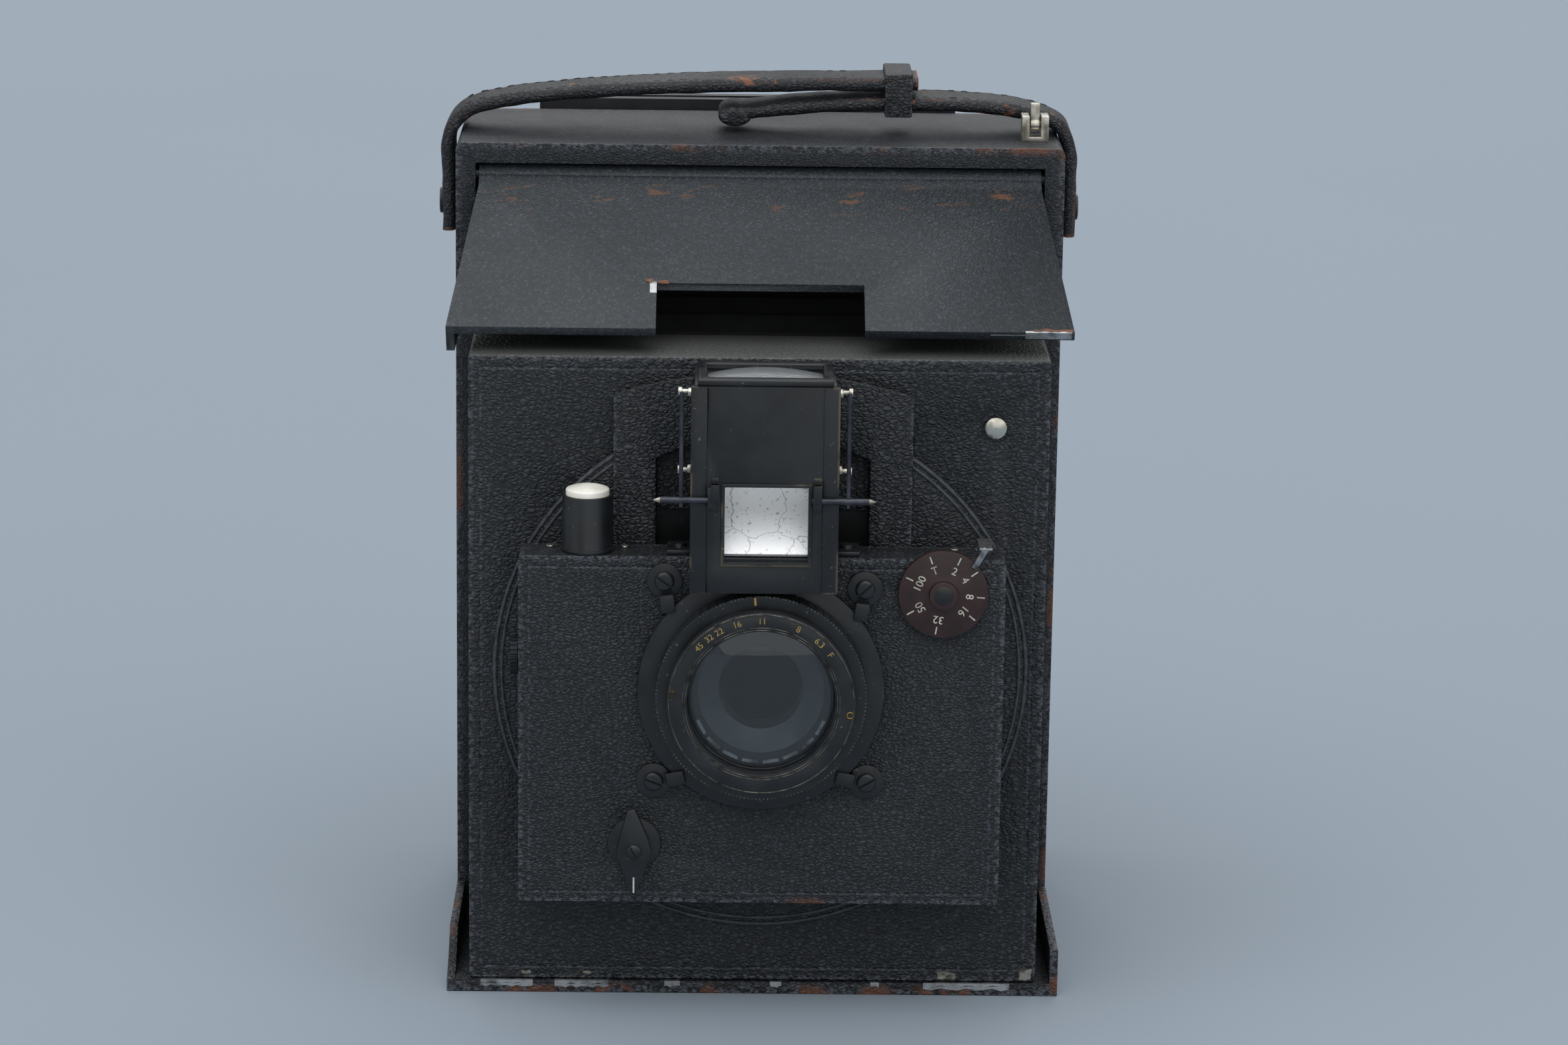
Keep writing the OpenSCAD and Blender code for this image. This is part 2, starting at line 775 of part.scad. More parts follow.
module setting_knob() {
    color(metal_black)
        difference() {
            union() {
                y_cylinder(4.2, knob_y - knob_t, knob_y, knob_x, knob_z);
                translate([knob_x, knob_y, knob_z])
                    rotate([90, 0, 0])
                        linear_extrude(knob_t)
                            polygon([[-4, 0], [-3.6, 3], [-1.6, 10.6], [0.2, 10.9], [3.6, 3], [4, 0],
                                [3.2, -3.4], [0.6, -10.6], [-0.6, -10.6], [-3.2, -3.4]]);
            }
            y_cylinder(shaft_r, knob_y - knob_t - 1, knob_y + 1, knob_x, knob_z);
        }
}

module setting_washer() {
    color(metal_black)
        difference() {
            y_cylinder(washer_r, shutter_face - washer_t, shutter_face, knob_x, knob_z + 1.4);
            y_cylinder(shaft_r + shaft_gap, shutter_face - 2, shutter_face + 1, knob_x, knob_z);
        }
}

module pump_cylinder() {
    color(metal_black)
        translate([pump_x, shutter_mid_y, shutter_top])
            difference() {
                union() {
                    cylinder(r = pump_r, h = pump_h);
                    cylinder(r = pump_r + 0.4, h = 1);
                }
                translate([0, 0, 1.5])
                    cylinder(r = cap_r + shaft_gap, h = pump_h);
            }
}

module pump_cap() {
    color("#e4e2d8")
        translate([pump_x, shutter_mid_y, shutter_top])
            rotate_extrude() {
                translate([0, 1.5 + cap_travel + slide_gap])
                    square([cap_r, pump_h - 3]);
                intersection() {
                    translate([0, pump_h + slide_gap + 2 - 14])
                        circle(r = 14, $fn = 128);
                    translate([0, pump_h - 2])
                        square([cap_r, 6]);
                }
            }
}

module speed_dial() {
    color("#3d2320")
        y_cylinder(dial_r, shutter_face - slide_gap - dial_t, shutter_face - slide_gap, dial_x, dial_z);
    color(metal_black) {
        y_cylinder(hub_r, shutter_face - slide_gap - dial_t - 1.6, shutter_face - slide_gap - dial_t + eps,
            dial_x, dial_z);
        y_cylinder(shaft_r, shutter_face - slide_gap - eps, shutter_face + 6, dial_x, dial_z);
    }
}

// Nickel index that reaches over the dial's rim from the top of the shutter box
module dial_pointer() {
    pointer_x = dial_x + dial_r - 0.9;
    tip_y = shutter_face - 2 * slide_gap - dial_t;
    color(nickel) {
        slab(pointer_x - 1.6, pointer_x + 1.6, tip_y - 0.6, shutter_mid_y,
            shutter_top + 3.2, shutter_top + 3.8);
        slab(pointer_x - 1.6, pointer_x + 1.6, shutter_mid_y - 1, shutter_mid_y,
            shutter_top, shutter_top + 3.4);
        translate([pointer_x, tip_y, shutter_top + 3.5])
            rotate([90, 30, 0])
                translate([-0.7, -5.5, 0])
                    cube([1.4, 5.8, 0.6]);
    }
}

module side_wheel() {
    edge = mid_x - shutter_w / 2;
    color(brass)
        difference() {
            union() {
                x_cylinder(wheel_r, edge - slide_gap - wheel_t, edge - slide_gap, shutter_mid_y, wheel_z);
                x_cylinder(shaft_r, edge - slide_gap - eps, edge + 4, shutter_mid_y, wheel_z);
            }
            for (k = [0:23])
                rotate_about(shutter_mid_y, wheel_z, k * 15)
                    x_cylinder(0.3, edge - 4, edge - slide_gap + eps, shutter_mid_y + wheel_r, wheel_z);
        }
}

// Lens
module lens_tube(r_out, r_in, y0, y1) {
    difference() {
        y_cylinder(r_out, y0, y1, mid_x, lens_z, $fn = 96);
        y_cylinder(r_in, y0 - 1, y1 + 1, mid_x, lens_z, $fn = 96);
    }
}

module lens_flange() {
    color(metal_black)
        lens_tube(flange_r, barrel_r, flange_face, shutter_face);
}

module lens_clamps() {
    color(metal_black)
        for (spot = clamp_spots) {
            y_cylinder(washer_big_r, shutter_face - 1, shutter_face, spot[0], spot[1]);
            y_cylinder(clamp_head_r, shutter_face - 2.6, shutter_face - 1 + eps, spot[0], spot[1]);
        }
}

barrel_wall = 2.5;
rim_r = 22.8;
rim_len = 3;
module lens_barrel() {
    color(metal_black) {
        lens_tube(barrel_r, barrel_r - barrel_wall, lens_face + rim_len, plate_back + plate_t + 1);
        lens_tube(barrel_r - barrel_wall + eps, rear_cell_r, plate_back + plate_t - 1,
            plate_back + plate_t + 1);
    }
}

module iris_ring() {
    color(metal_black)
        difference() {
            lens_tube(ring_r, barrel_r + shaft_gap, ring_face, ring_y);
            for (k = [0:71])
                translate([mid_x, 0, lens_z])
                    rotate([0, k * 5, 0])
                        translate([ring_r + 0.12, ring_face - 1, 0])
                            rotate([-90, 0, 0])
                                cylinder(r = 0.35, h = ring_t + 2, $fn = 16);
        }
}

iris_y = shutter_mid_y;
module iris_blades() {
    color("#2b2d30")
        lens_tube(barrel_r - barrel_wall, 9, iris_y - 0.3, iris_y + 0.3);
}

module front_cell() {
    color(metal_black)
        lens_tube(barrel_r - barrel_wall, glass_r, lens_face + 0.5, flange_face + 1);
    color(metal_black)
        lens_tube(rim_r, glass_r + 0.3, lens_face, lens_face + rim_len);
}

module glass_disc(r, y0, y1, bulge) {
    translate([mid_x, y1, lens_z])
        rotate([90, 0, 0])
            rotate_extrude($fn = 64)
                intersection() {
                    big = (r * r + bulge * bulge) / (2 * bulge);
                    translate([0, y1 - y0 + bulge - big])
                        circle(r = big, $fn = 360);
                    square([r, y1 - y0 + bulge + 1]);
                }
}

module front_glass() {
    color([0.4, 0.5, 0.6, 0.4])
        glass_disc(glass_r - 0.05, lens_face + 3.5, flange_face + 0.5, 1.8);
}

module rear_cell() {
    color(metal_black)
        lens_tube(rear_cell_r, rear_glass_r, plate_back + plate_t - 1, plate_back + plate_t + 7);
}

module rear_glass() {
    color([0.4, 0.5, 0.6, 0.4])
        glass_disc(rear_glass_r - 0.05, plate_back + plate_t + 1, plate_back + plate_t + 5, 1);
}

// Finder
module finder_body() {
    color(metal_black)
        difference() {
            slab(finder_x - finder_w / 2 + 0.8, finder_x + finder_w / 2 - 0.8, finder_face + panel_t,
                finder_rear, finder_seat_z, finder_top);
            slab(finder_x - finder_w / 2 + 0.8 + finder_wall, finder_x + finder_w / 2 - 0.8 - finder_wall,
                finder_face, finder_rear - finder_wall, finder_seat_z + finder_wall, finder_top + 1);
        }
}

module finder_panel() {
    color(metal_black)
        difference() {
            slab(finder_x - finder_w / 2, finder_x + finder_w / 2, finder_face, finder_face + panel_t,
                finder_z0, finder_top);
            slab(finder_x + 0.5 - window_w / 2, finder_x + 0.5 + window_w / 2, finder_face - 1,
                finder_face + panel_t + 1, window_z0, window_z0 + window_h);
        }
    color(metal_black)
        for (s = [-1, 1])
            difference() {
                slab(finder_x + s * 12.6 - 1, finder_x + s * 12.6 + 1, finder_face - 2.6, finder_face + eps,
                    pin_z - 1.8, pin_z + 3.4);
                x_cylinder(pin_r + shaft_gap, -60, 60, finder_face - 1.4, pin_z);
            }
}

module finder_mirror() {
    low = finder_seat_z + finder_wall + 0.3;
    mirror_w = finder_w - 1.6 - 2 * finder_wall;
    mirror_run = (shutter_d + 9 - panel_t) * 1.0244;
    color("#e8e8e6")
        translate([finder_x, finder_face + panel_t + 0.8, low])
            rotate([45, 0, 0])
                translate([-mirror_w / 2, 0, 0])
                    cube([mirror_w, mirror_run, 1]);
}

module finder_top_frame() {
    color(metal_black)
        difference() {
            slab(finder_x - finder_w / 2 + 1.6, finder_x + finder_w / 2 - 1.6, finder_face + 0.4,
                finder_rear, finder_top, finder_top + 1.6);
            slab(finder_x - glass_w / 2, finder_x + glass_w / 2, finder_face + 4, finder_rear - 3.4,
                finder_top - 1, finder_top + 3);
        }
}

module finder_lens() {
    color([0.6, 0.65, 0.7, 0.4])
        intersection() {
            slab(finder_x - glass_w / 2 + 0.1, finder_x + glass_w / 2 - 0.1, finder_face + 4.1,
                finder_rear - 3.5, finder_top - 2, finder_top + 1.5);
            translate([finder_x, (finder_face + finder_rear) / 2, finder_top + 1.3 - 60])
                sphere(r = 60, $fn = 180);
        }
}

module finder_brackets() {
    color(metal_black)
        for (s = [-1, 1])
            translate([finder_x + s * (finder_w / 2 + 2.4), 0, 0]) {
                slab(-3.2, 3.2, shutter_face + 2, shutter_back_y - 2, shutter_top, shutter_top + 1.2);
                translate([0, shutter_mid_y, shutter_top + 1.2])
                    cylinder(r = 1.6, h = 0.9);
            }
    color(metal_black)
        slab(finder_x - finder_w / 2 - 0.8, finder_x + finder_w / 2 + 0.8, shutter_face + 3,
            shutter_back_y - 3, shutter_top, finder_seat_z);
}

module finder_arms() {
    color(nickel)
        for (s = [-1, 1]) {
            x0 = s > 0 ? finder_x + 11.4 : finder_x - arm_x - 5;
            x_cylinder(pin_r, x0, x0 + arm_x - 6.4, finder_face - 1.4, pin_z);
            translate([finder_x + s * arm_x, finder_face - 1.4, pin_z - 1.6])
                cylinder(r = arm_r, h = 28, $fn = 24);
        }
}

module finder_pivot_screws() {
    color(nickel)
        for (s = [-1, 1], z = [finder_z0 + 29.5, finder_top - 2.5]) {
            x0 = s > 0 ? finder_x + finder_w / 2 - 0.8 : finder_x - finder_w / 2 + 0.8 - 1.6;
            x_cylinder(1.1, x0, x0 + 1.6, finder_face + 5, z);
        }
}

case_shell();
back_frame();
plate_holder();
front_sheath();
rear_sheath();
bellows();
base_tripod_bush();
side_tripod_bush();
case_screws();
base_flap();
flap_hinge_pin();
top_flap();
strap_studs();
long_strap();
short_strap();
strap_keeper();
catch_post();
catch_lever();
front_box();
slide_rails();
latch_button();
revolving_disc();
raised_strip();
disc_keeper_ring();
rise_plate();
shutter_box();
shutter_back();
shutter_screws();
shutter_blade();
setting_shaft();
setting_knob();
setting_washer();
pump_cylinder();
pump_cap();
speed_dial();
dial_pointer();
side_wheel();
lens_flange();
lens_clamps();
lens_barrel();
iris_ring();
iris_blades();
front_cell();
front_glass();
rear_cell();
rear_glass();
finder_body();
finder_panel();
finder_mirror();
finder_top_frame();
finder_lens();
finder_brackets();
finder_arms();
finder_pivot_screws();
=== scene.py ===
# %% [markdown]
# # A leather-covered plate camera
# This lesson dresses a camera from the days of glass plates: a leather box with a flap for a floor,
# a flap for a roof, a front that slides out between them, a shutter in a flat leather case and a
# black-lacquered lens. The exact solids are loaded first as a fixed frame, in metres, and every
# cell after that adds one finish or one piece to them.

# %% Load the frame
import math
import bpy
from mathutils import Euler, Matrix, Vector, noise
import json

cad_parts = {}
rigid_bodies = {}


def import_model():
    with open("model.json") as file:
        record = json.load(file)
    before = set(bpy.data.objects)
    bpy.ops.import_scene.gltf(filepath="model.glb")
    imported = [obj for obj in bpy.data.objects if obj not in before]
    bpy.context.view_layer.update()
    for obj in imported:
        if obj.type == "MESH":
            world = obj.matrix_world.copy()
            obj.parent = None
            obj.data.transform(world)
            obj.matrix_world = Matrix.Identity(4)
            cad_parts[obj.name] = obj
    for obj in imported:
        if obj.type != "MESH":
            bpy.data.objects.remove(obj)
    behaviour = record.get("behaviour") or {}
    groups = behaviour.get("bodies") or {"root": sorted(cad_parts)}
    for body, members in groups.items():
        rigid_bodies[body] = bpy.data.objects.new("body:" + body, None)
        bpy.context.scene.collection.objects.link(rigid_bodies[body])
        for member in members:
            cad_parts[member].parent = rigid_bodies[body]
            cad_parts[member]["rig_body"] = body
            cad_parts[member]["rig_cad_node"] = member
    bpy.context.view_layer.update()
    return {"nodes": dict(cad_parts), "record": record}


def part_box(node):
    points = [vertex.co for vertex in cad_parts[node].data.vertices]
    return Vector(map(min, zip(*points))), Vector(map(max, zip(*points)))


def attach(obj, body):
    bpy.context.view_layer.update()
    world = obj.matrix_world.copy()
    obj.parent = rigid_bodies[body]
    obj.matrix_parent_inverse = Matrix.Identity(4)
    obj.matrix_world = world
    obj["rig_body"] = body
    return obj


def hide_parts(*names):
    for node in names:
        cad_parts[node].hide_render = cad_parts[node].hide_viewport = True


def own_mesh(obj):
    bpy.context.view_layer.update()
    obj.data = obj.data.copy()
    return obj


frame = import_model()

MM = 0.001
NODES = frame["nodes"]
BODY_OF = {node: body for body, members in frame["record"]["behaviour"]["bodies"].items() for node in members}
SLOT_OF = {part["node"]: part["material_slot"] for part in frame["record"]["subparts"]}
print("loaded", len(NODES), "solids")


def lo(node):
    """Lowest corner of a solid, in millimetres."""
    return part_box(node)[0] / MM


def hi(node):
    """Highest corner of a solid, in millimetres."""
    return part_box(node)[1] / MM

# %% [markdown]
# ## The camera that takes the picture
# A long lens at chest height looks slightly down at the object. The place, tilt and focal length
# were worked out from straight edges of the object, so the render and the photograph line up.

# %% Taking camera
SENSOR_WIDTH = 36.0
FOCAL = 110.4
EYE = Vector((-12.0, -1218.8, 409.5)) * MM
PITCH = math.radians(14.16)
YAW = math.radians(0.92)
ROLL = math.radians(0.82)

view = bpy.data.cameras.new("taking_camera")
view.lens = FOCAL
view.sensor_width = SENSOR_WIDTH
view.sensor_fit = "HORIZONTAL"
view.clip_end = 100.0
eye = bpy.data.objects.new("taking_camera", view)
bpy.context.scene.collection.objects.link(eye)
forward = Vector((math.sin(YAW) * math.cos(PITCH), math.cos(YAW) * math.cos(PITCH), -math.sin(PITCH)))
level = Vector((math.cos(YAW), -math.sin(YAW), 0.0))
upright = level.cross(forward)
side = math.cos(ROLL) * level + math.sin(ROLL) * upright
top = -math.sin(ROLL) * level + math.cos(ROLL) * upright
turn = Matrix((side, top, -forward)).transposed()
eye.matrix_world = Matrix.Translation(EYE) @ turn.to_4x4()
bpy.context.scene.camera = eye
bpy.context.scene.view_settings.view_transform = "Standard"
print("camera looks along", tuple(round(v, 3) for v in forward))

# %% [markdown]
# ## Nodes and colours
# Colours are written as the hex values a painter's program shows, and one function turns them to
# the linear light that a renderer adds up. One more function adds a shader node, sets it and wires it.

# %% Colour and node helpers
def ink(code):
    """An sRGB hex colour as linear RGBA."""
    parts = [int(code[i:i + 2], 16) / 255 for i in (1, 3, 5)]
    return tuple(c / 12.92 if c <= 0.04045 else ((c + 0.055) / 1.055) ** 2.4 for c in parts) + (1.0,)


def put(tree, kind, inputs=None, **settings):
    """Adds a shader node, with its settings, and with a value or a link on each named input."""
    made = tree.nodes.new(kind)
    for key, value in settings.items():
        setattr(made, key, value)
    for key, value in (inputs or {}).items():
        socket = made.inputs[key]
        if isinstance(value, bpy.types.NodeSocket):
            tree.links.new(value, socket)
        else:
            socket.default_value = value
    return made


def blank(name):
    """A new material with its tree emptied down to the surface shader, and the object's own coordinates."""
    made = bpy.data.materials.new(name)
    made.use_nodes = True
    tree = made.node_tree
    tree.nodes.clear()
    shader = put(tree, "ShaderNodeBsdfPrincipled")
    out = put(tree, "ShaderNodeOutputMaterial")
    tree.links.new(shader.outputs["BSDF"], out.inputs["Surface"])
    place = put(tree, "ShaderNodeTexCoord").outputs["Object"]
    return made, tree, shader, place


print("mid grey #808080 is", round(ink("#808080")[0], 3), "in linear light")

# %% [markdown]
# ## Building blocks of a finish
# Old leather, lacquer and plate are never one even tone. An image could be wrapped round each piece,
# but it would need unfolding and would blur close up. Here each finish is worked out from a point's
# place on its object instead: noise gives clouds, a map range keeps the part of them that counts, and
# math nodes join the shares. One short function for each makes a finish read like a recipe.

# %% Finish helpers
def blend_colours(tree, share, first, second):
    """The colour between two others, at a given share of the second."""
    mixed = put(tree, "ShaderNodeMix", {0: share, 6: first, 7: second}, data_type="RGBA")
    return mixed.outputs[2]


def spread(tree, value, low, high, out_low=0.0, out_high=1.0):
    """Stretches low..high of a value to another range, clamped."""
    inputs = {"Value": value, "From Min": low, "From Max": high, "To Min": out_low, "To Max": out_high}
    return put(tree, "ShaderNodeMapRange", inputs).outputs["Result"]


def combine(tree, operation, first, second=None, clamp=False):
    """One or two values put through a math node."""
    inputs = {0: first} if second is None else {0: first, 1: second}
    return put(tree, "ShaderNodeMath", inputs, operation=operation, use_clamp=clamp).outputs[0]


def shift(tree, operation, first, second):
    """A vector put through a vector math node; SCALE takes a number as its second value."""
    key = "Scale" if operation == "SCALE" else 1
    return put(tree, "ShaderNodeVectorMath", {0: first, key: second}, operation=operation).outputs[0]


def clouds(tree, place, scale, detail, roughness=0.5, output="Fac"):
    """Noise in the object's own space, with about scale lumps in a metre."""
    inputs = {"Vector": place, "Scale": scale, "Detail": detail, "Roughness": roughness}
    return put(tree, "ShaderNodeTexNoise", inputs).outputs[output]


def surface(tree, shader, colour, cloud, rough, strength, depth_mm):
    """Wires up a colour, a roughness clouded between two values and a shallow relief."""
    tree.links.new(colour, shader.inputs["Base Color"])
    tree.links.new(spread(tree, cloud, 0.3, 0.7, *rough), shader.inputs["Roughness"])
    bump = put(tree, "ShaderNodeBump", {"Height": cloud, "Strength": strength, "Distance": depth_mm * MM})
    tree.links.new(bump.outputs[0], shader.inputs["Normal"])


print("helpers are ready; materials so far:", len(bpy.data.materials))

# %% [markdown]
# ## Wear that knows where the edges are
# Leather and lacquer rub through first along an edge. Wear could be painted by hand, piece by piece,
# but a box-shaped piece has an edge wherever two of its three coordinates are both near their limits,
# so the piece's own size is enough to find them. Noise then breaks the line up, because no real edge
# wears evenly.

# %% Edge wear
def from_centre(tree, place, low, high):
    """How far a point lies from the middle of a box, without sign, and half the size of the box."""
    centre = (Vector(low) + Vector(high)) / 2 * MM
    half = (Vector(high) - Vector(low)) / 2 * MM
    moved = shift(tree, "SUBTRACT", place, centre)
    return put(tree, "ShaderNodeVectorMath", {0: moved}, operation="ABSOLUTE").outputs[0], half


def edge_mask(tree, place, low, high, reach_mm):
    """1 along the edges of the box from low to high, in mm, fading out over reach_mm."""
    reach = reach_mm * MM
    away, half = from_centre(tree, place, low, high)
    past = shift(tree, "SUBTRACT", away, [h - reach for h in half])
    held = shift(tree, "MAXIMUM", shift(tree, "SCALE", past, 1 / reach), (0, 0, 0))
    axes = put(tree, "ShaderNodeSeparateXYZ", {0: held}).outputs
    pairs = [combine(tree, "MULTIPLY", axes[a], axes[b]) for a, b in ((0, 1), (1, 2), (0, 2))]
    return combine(tree, "MAXIMUM", combine(tree, "MAXIMUM", pairs[0], pairs[1]), pairs[2], clamp=True)


print("the case measures", tuple(round(float(v), 1) for v in hi("case_shell") - lo("case_shell")), "mm")

# %% [markdown]
# ## The grain of the leather
# The case is covered with goatskin, dyed blue-black and rolled with a fine pebble. Plain Voronoi cells
# look like round bubbles, so the distance to the cell walls is used instead, on coordinates that a
# noise bends and a mapping draws out a little. That leaves flat-topped pebbles with narrow creases.

# %% Pebbles, scuffs and tooled lines
GRAIN_STRETCH = (0.78, 1.0, 1.15)
BEND_SCALE, BEND = 420.0, 0.0011
SCUFF_STRETCH = (0.35, 1.0, 1.0)
SCUFF_FADE_IN, SCUFF_FADE_OUT = 3, 2
LINE_HALF = 0.5


def pebbles(tree, place, pebble_mm):
    """1 on the top of each pebble and 0 in the creases between them."""
    bent = clouds(tree, place, BEND_SCALE, 2.0, output="Color")
    grain = shift(tree, "ADD", place, shift(tree, "SCALE", bent, BEND))
    drawn_out = put(tree, "ShaderNodeMapping", {"Vector": grain, "Scale": GRAIN_STRETCH}).outputs[0]
    cells = put(tree, "ShaderNodeTexVoronoi", {"Vector": drawn_out, "Scale": 1 / (pebble_mm * MM)},
                feature="DISTANCE_TO_EDGE")
    return spread(tree, cells.outputs["Distance"], 0.03, 0.24)


def scuffs(tree, place, from_z, to_z):
    """Dye rubbed off in streaks that run sideways, between two heights in mm."""
    height = put(tree, "ShaderNodeSeparateXYZ", {0: place}).outputs[2]
    inside = combine(tree, "MULTIPLY", spread(tree, height, from_z * MM, (from_z + SCUFF_FADE_IN) * MM),
                     spread(tree, height, to_z * MM, (to_z - SCUFF_FADE_OUT) * MM))
    drawn = put(tree, "ShaderNodeMapping", {"Vector": place, "Scale": SCUFF_STRETCH}).outputs[0]
    streaks = clouds(tree, drawn, 330.0, 8.0, 0.7)
    return combine(tree, "MULTIPLY", inside, spread(tree, streaks, 0.58, 0.62, 0.0, 0.9))


def tooled_line(tree, place, low, high, inset_mm):
    """1 on a line pressed into the face of a box, a fixed distance inside its outline in X and Z."""
    away, half = from_centre(tree, place, low, high)
    axes = put(tree, "ShaderNodeSeparateXYZ", {0: shift(tree, "SUBTRACT", half, away)}).outputs
    off = combine(tree, "SUBTRACT", combine(tree, "MINIMUM", axes[0], axes[2]), inset_mm * MM)
    return spread(tree, combine(tree, "ABSOLUTE", off), 0.0, LINE_HALF * MM, 1.0, 0.0)


print("a tooled line is", 2 * LINE_HALF, "mm wide")

# %% [markdown]
# ## Dyed and worn hide
# The tops of the pebbles are polished by a century of hands, and their paler tone is a painted highlight;
# the creases keep the dark dye. Where an edge is rubbed through, the dye frays to grey, with a painted
# highlight on it, and then gives way to the orange-brown of tanned hide. The tooled line carries a
# painted highlight, and the top of a box is paled by dust and painted light. One function with many
# settings dresses every covered piece, so that they all look cut from one skin and yet wear each in its
# own way.

# %% Leather finish
# The frayed tone is grey wear with a painted highlight, the old dust on a top carries painted light, and the glint
# is a painted highlight.
DUST, TOP_DUST_AND_LIGHT, FRAYED_AND_HIGHLIGHT, GLINT, DARK_HIDE = "#6d7073", "#5c5d5a", "#565a61", "#555a64", "#3a241a"


def leather(name, low, high, base="#15181b", pebble_highlight_tone="#31353b", hide="#7a4a30", pebble_mm=1.2, rough=0.46,
            wear=0.2, reach_mm=1.6, relief=0.6, scuff_z=None, tool_mm=None, dusty=0.12, tear_mm=26.0,
            rub_level=0.735, rub_mm=10.5, dust_and_light_on_top=0.0):
    """Pebbled, dyed hide on a box from low to high, in mm, with grey scuffs and brown wear on its edges, painted
    highlights on its pebble tops, edges and tooled line, and dust with painted light on its top.
    """
    made, tree, shader, place = blank(name)
    crown = pebbles(tree, place, pebble_mm)
    broad = clouds(tree, place, 1000 / tear_mm, 5.0)
    fine = clouds(tree, place, 900.0, 5.0)
    mid = clouds(tree, place, 210.0, 7.0)
    # The dye, with a painted highlight on the tops of the pebbles, and dusty in places
    pebble_highlight = combine(tree, "MULTIPLY", crown, spread(tree, fine, 0.46, 0.58))
    colour = blend_colours(tree, pebble_highlight, ink(base), ink(pebble_highlight_tone))
    colour = blend_colours(tree, spread(tree, mid, 0.62, 0.8, 0.0, dusty), colour, ink(DUST))
    # The edges, frayed to grey with a painted highlight first, and torn where the broad noise is high
    edge = edge_mask(tree, place, low, high, reach_mm)
    fray_and_highlight = combine(tree, "MULTIPLY", edge, spread(tree, fine, 0.44, 0.6, 0.0, 0.8))
    colour = blend_colours(tree, fray_and_highlight, colour, ink(FRAYED_AND_HIGHLIGHT))
    torn = combine(tree, "MULTIPLY", edge, spread(tree, broad, 0.68 - 0.18 * wear, 0.74 - 0.18 * wear))
    # Bare hide in rubbed spots on the faces
    rubs = clouds(tree, place, 1000 / rub_mm, 9.0, 0.72)
    spots = spread(tree, rubs, rub_level - 0.05 * wear, rub_level + 0.03 - 0.05 * wear)
    if scuff_z:
        spots = combine(tree, "MAXIMUM", spots, scuffs(tree, place, *scuff_z))
    raw = combine(tree, "MAXIMUM", torn, spots, clamp=True)
    colour = blend_colours(tree, raw, colour, blend_colours(tree, mid, ink(hide), ink(DARK_HIDE)))
    height = crown
    # A tooled line pressed into the face, with a painted highlight along it
    if tool_mm:
        line = tooled_line(tree, place, low, high, tool_mm)
        height = combine(tree, "SUBTRACT", crown, line)
        glint = combine(tree, "MULTIPLY", line, spread(tree, fine, 0.44, 0.58, 0.0, 0.45))
        colour = blend_colours(tree, glint, colour, ink(GLINT))
    # Dust and painted light that pale the top of the box
    if dust_and_light_on_top:
        level = put(tree, "ShaderNodeSeparateXYZ", {0: place}).outputs[2]
        top_dust_and_light = spread(tree, level, (high[2] - 0.7) * MM, (high[2] - 0.1) * MM, 0.0, dust_and_light_on_top)
        colour = blend_colours(tree, top_dust_and_light, colour, ink(TOP_DUST_AND_LIGHT))
    tree.links.new(colour, shader.inputs["Base Color"])
    tree.links.new(spread(tree, broad, 0.3, 0.7, rough - 0.06, rough + 0.1), shader.inputs["Roughness"])
    ground = put(tree, "ShaderNodeBump", {"Height": fine, "Strength": 0.2, "Distance": 0.2 * MM})
    bump = put(tree, "ShaderNodeBump", {"Height": height, "Strength": relief, "Distance": 0.3 * MM,
                                        "Normal": ground.outputs[0]})
    tree.links.new(bump.outputs[0], shader.inputs["Normal"])
    shader.inputs["Specular IOR Level"].default_value = 0.4
    return made


# Some of these tones are painted light: the top dust, the frayed grey and the glint.
print("tones of wear:", DUST, TOP_DUST_AND_LIGHT, FRAYED_AND_HIGHLIGHT, GLINT, DARK_HIDE)

# %% [markdown]
# ## Lacquer, plate and paint
# The lens mount, the finder and the small fittings are brass, blackened and lacquered. The lacquer is
# a satin blue-black; it wears to warm brass only on sharp corners, and dust lies in small pale specks.
# Bare metal needs a function of its own, because its colour is in its reflection and tarnish dulls it.
# Ink, thread and paint share a third, simpler one.

# %% Lacquer, nickel, brass and dial finishes
LACQUER_BLACK, LACQUER_BLUE, LACQUER_DUST, WORN_BRASS = "#0e1113", "#181c20", "#8a8d8c", "#7b705a"
LACQUER_REACH = 0.6
LACQUER_ROUGH = (0.33, 0.50)


def lacquer(name, low, high, wear=0.15):
    """Satin lacquer on a box from low to high, in mm, with its metal showing at the edges."""
    made, tree, shader, place = blank(name)
    cloud = clouds(tree, place, 120.0, 6.0)
    specks = clouds(tree, place, 900.0, 2.0)
    tint = blend_colours(tree, spread(tree, cloud, 0.35, 0.7), ink(LACQUER_BLACK), ink(LACQUER_BLUE))
    dusty = blend_colours(tree, spread(tree, specks, 0.70, 0.76, 0.0, 0.35), tint, ink(LACQUER_DUST))
    gate = spread(tree, cloud, 0.66 - 0.3 * wear, 0.78 - 0.3 * wear)
    bare = combine(tree, "MULTIPLY", edge_mask(tree, place, low, high, LACQUER_REACH), gate, clamp=True)
    tree.links.new(bare, shader.inputs["Metallic"])
    surface(tree, shader, blend_colours(tree, bare, dusty, ink(WORN_BRASS)), cloud, LACQUER_ROUGH, 0.12, 0.1)
    return made


def plated(name, bright, dull, rough, tarnish=0.5, scale=260.0):
    """Bare or plated metal, clouded by tarnish."""
    made, tree, shader, place = blank(name)
    cloud = clouds(tree, place, scale, 8.0)
    share = spread(tree, cloud, 0.62 - 0.3 * tarnish, 0.78 - 0.2 * tarnish)
    shader.inputs["Metallic"].default_value = 1.0
    surface(tree, shader, blend_colours(tree, share, ink(bright), ink(dull)), cloud, (rough, rough + 0.25),
            0.1, 0.08)
    return made


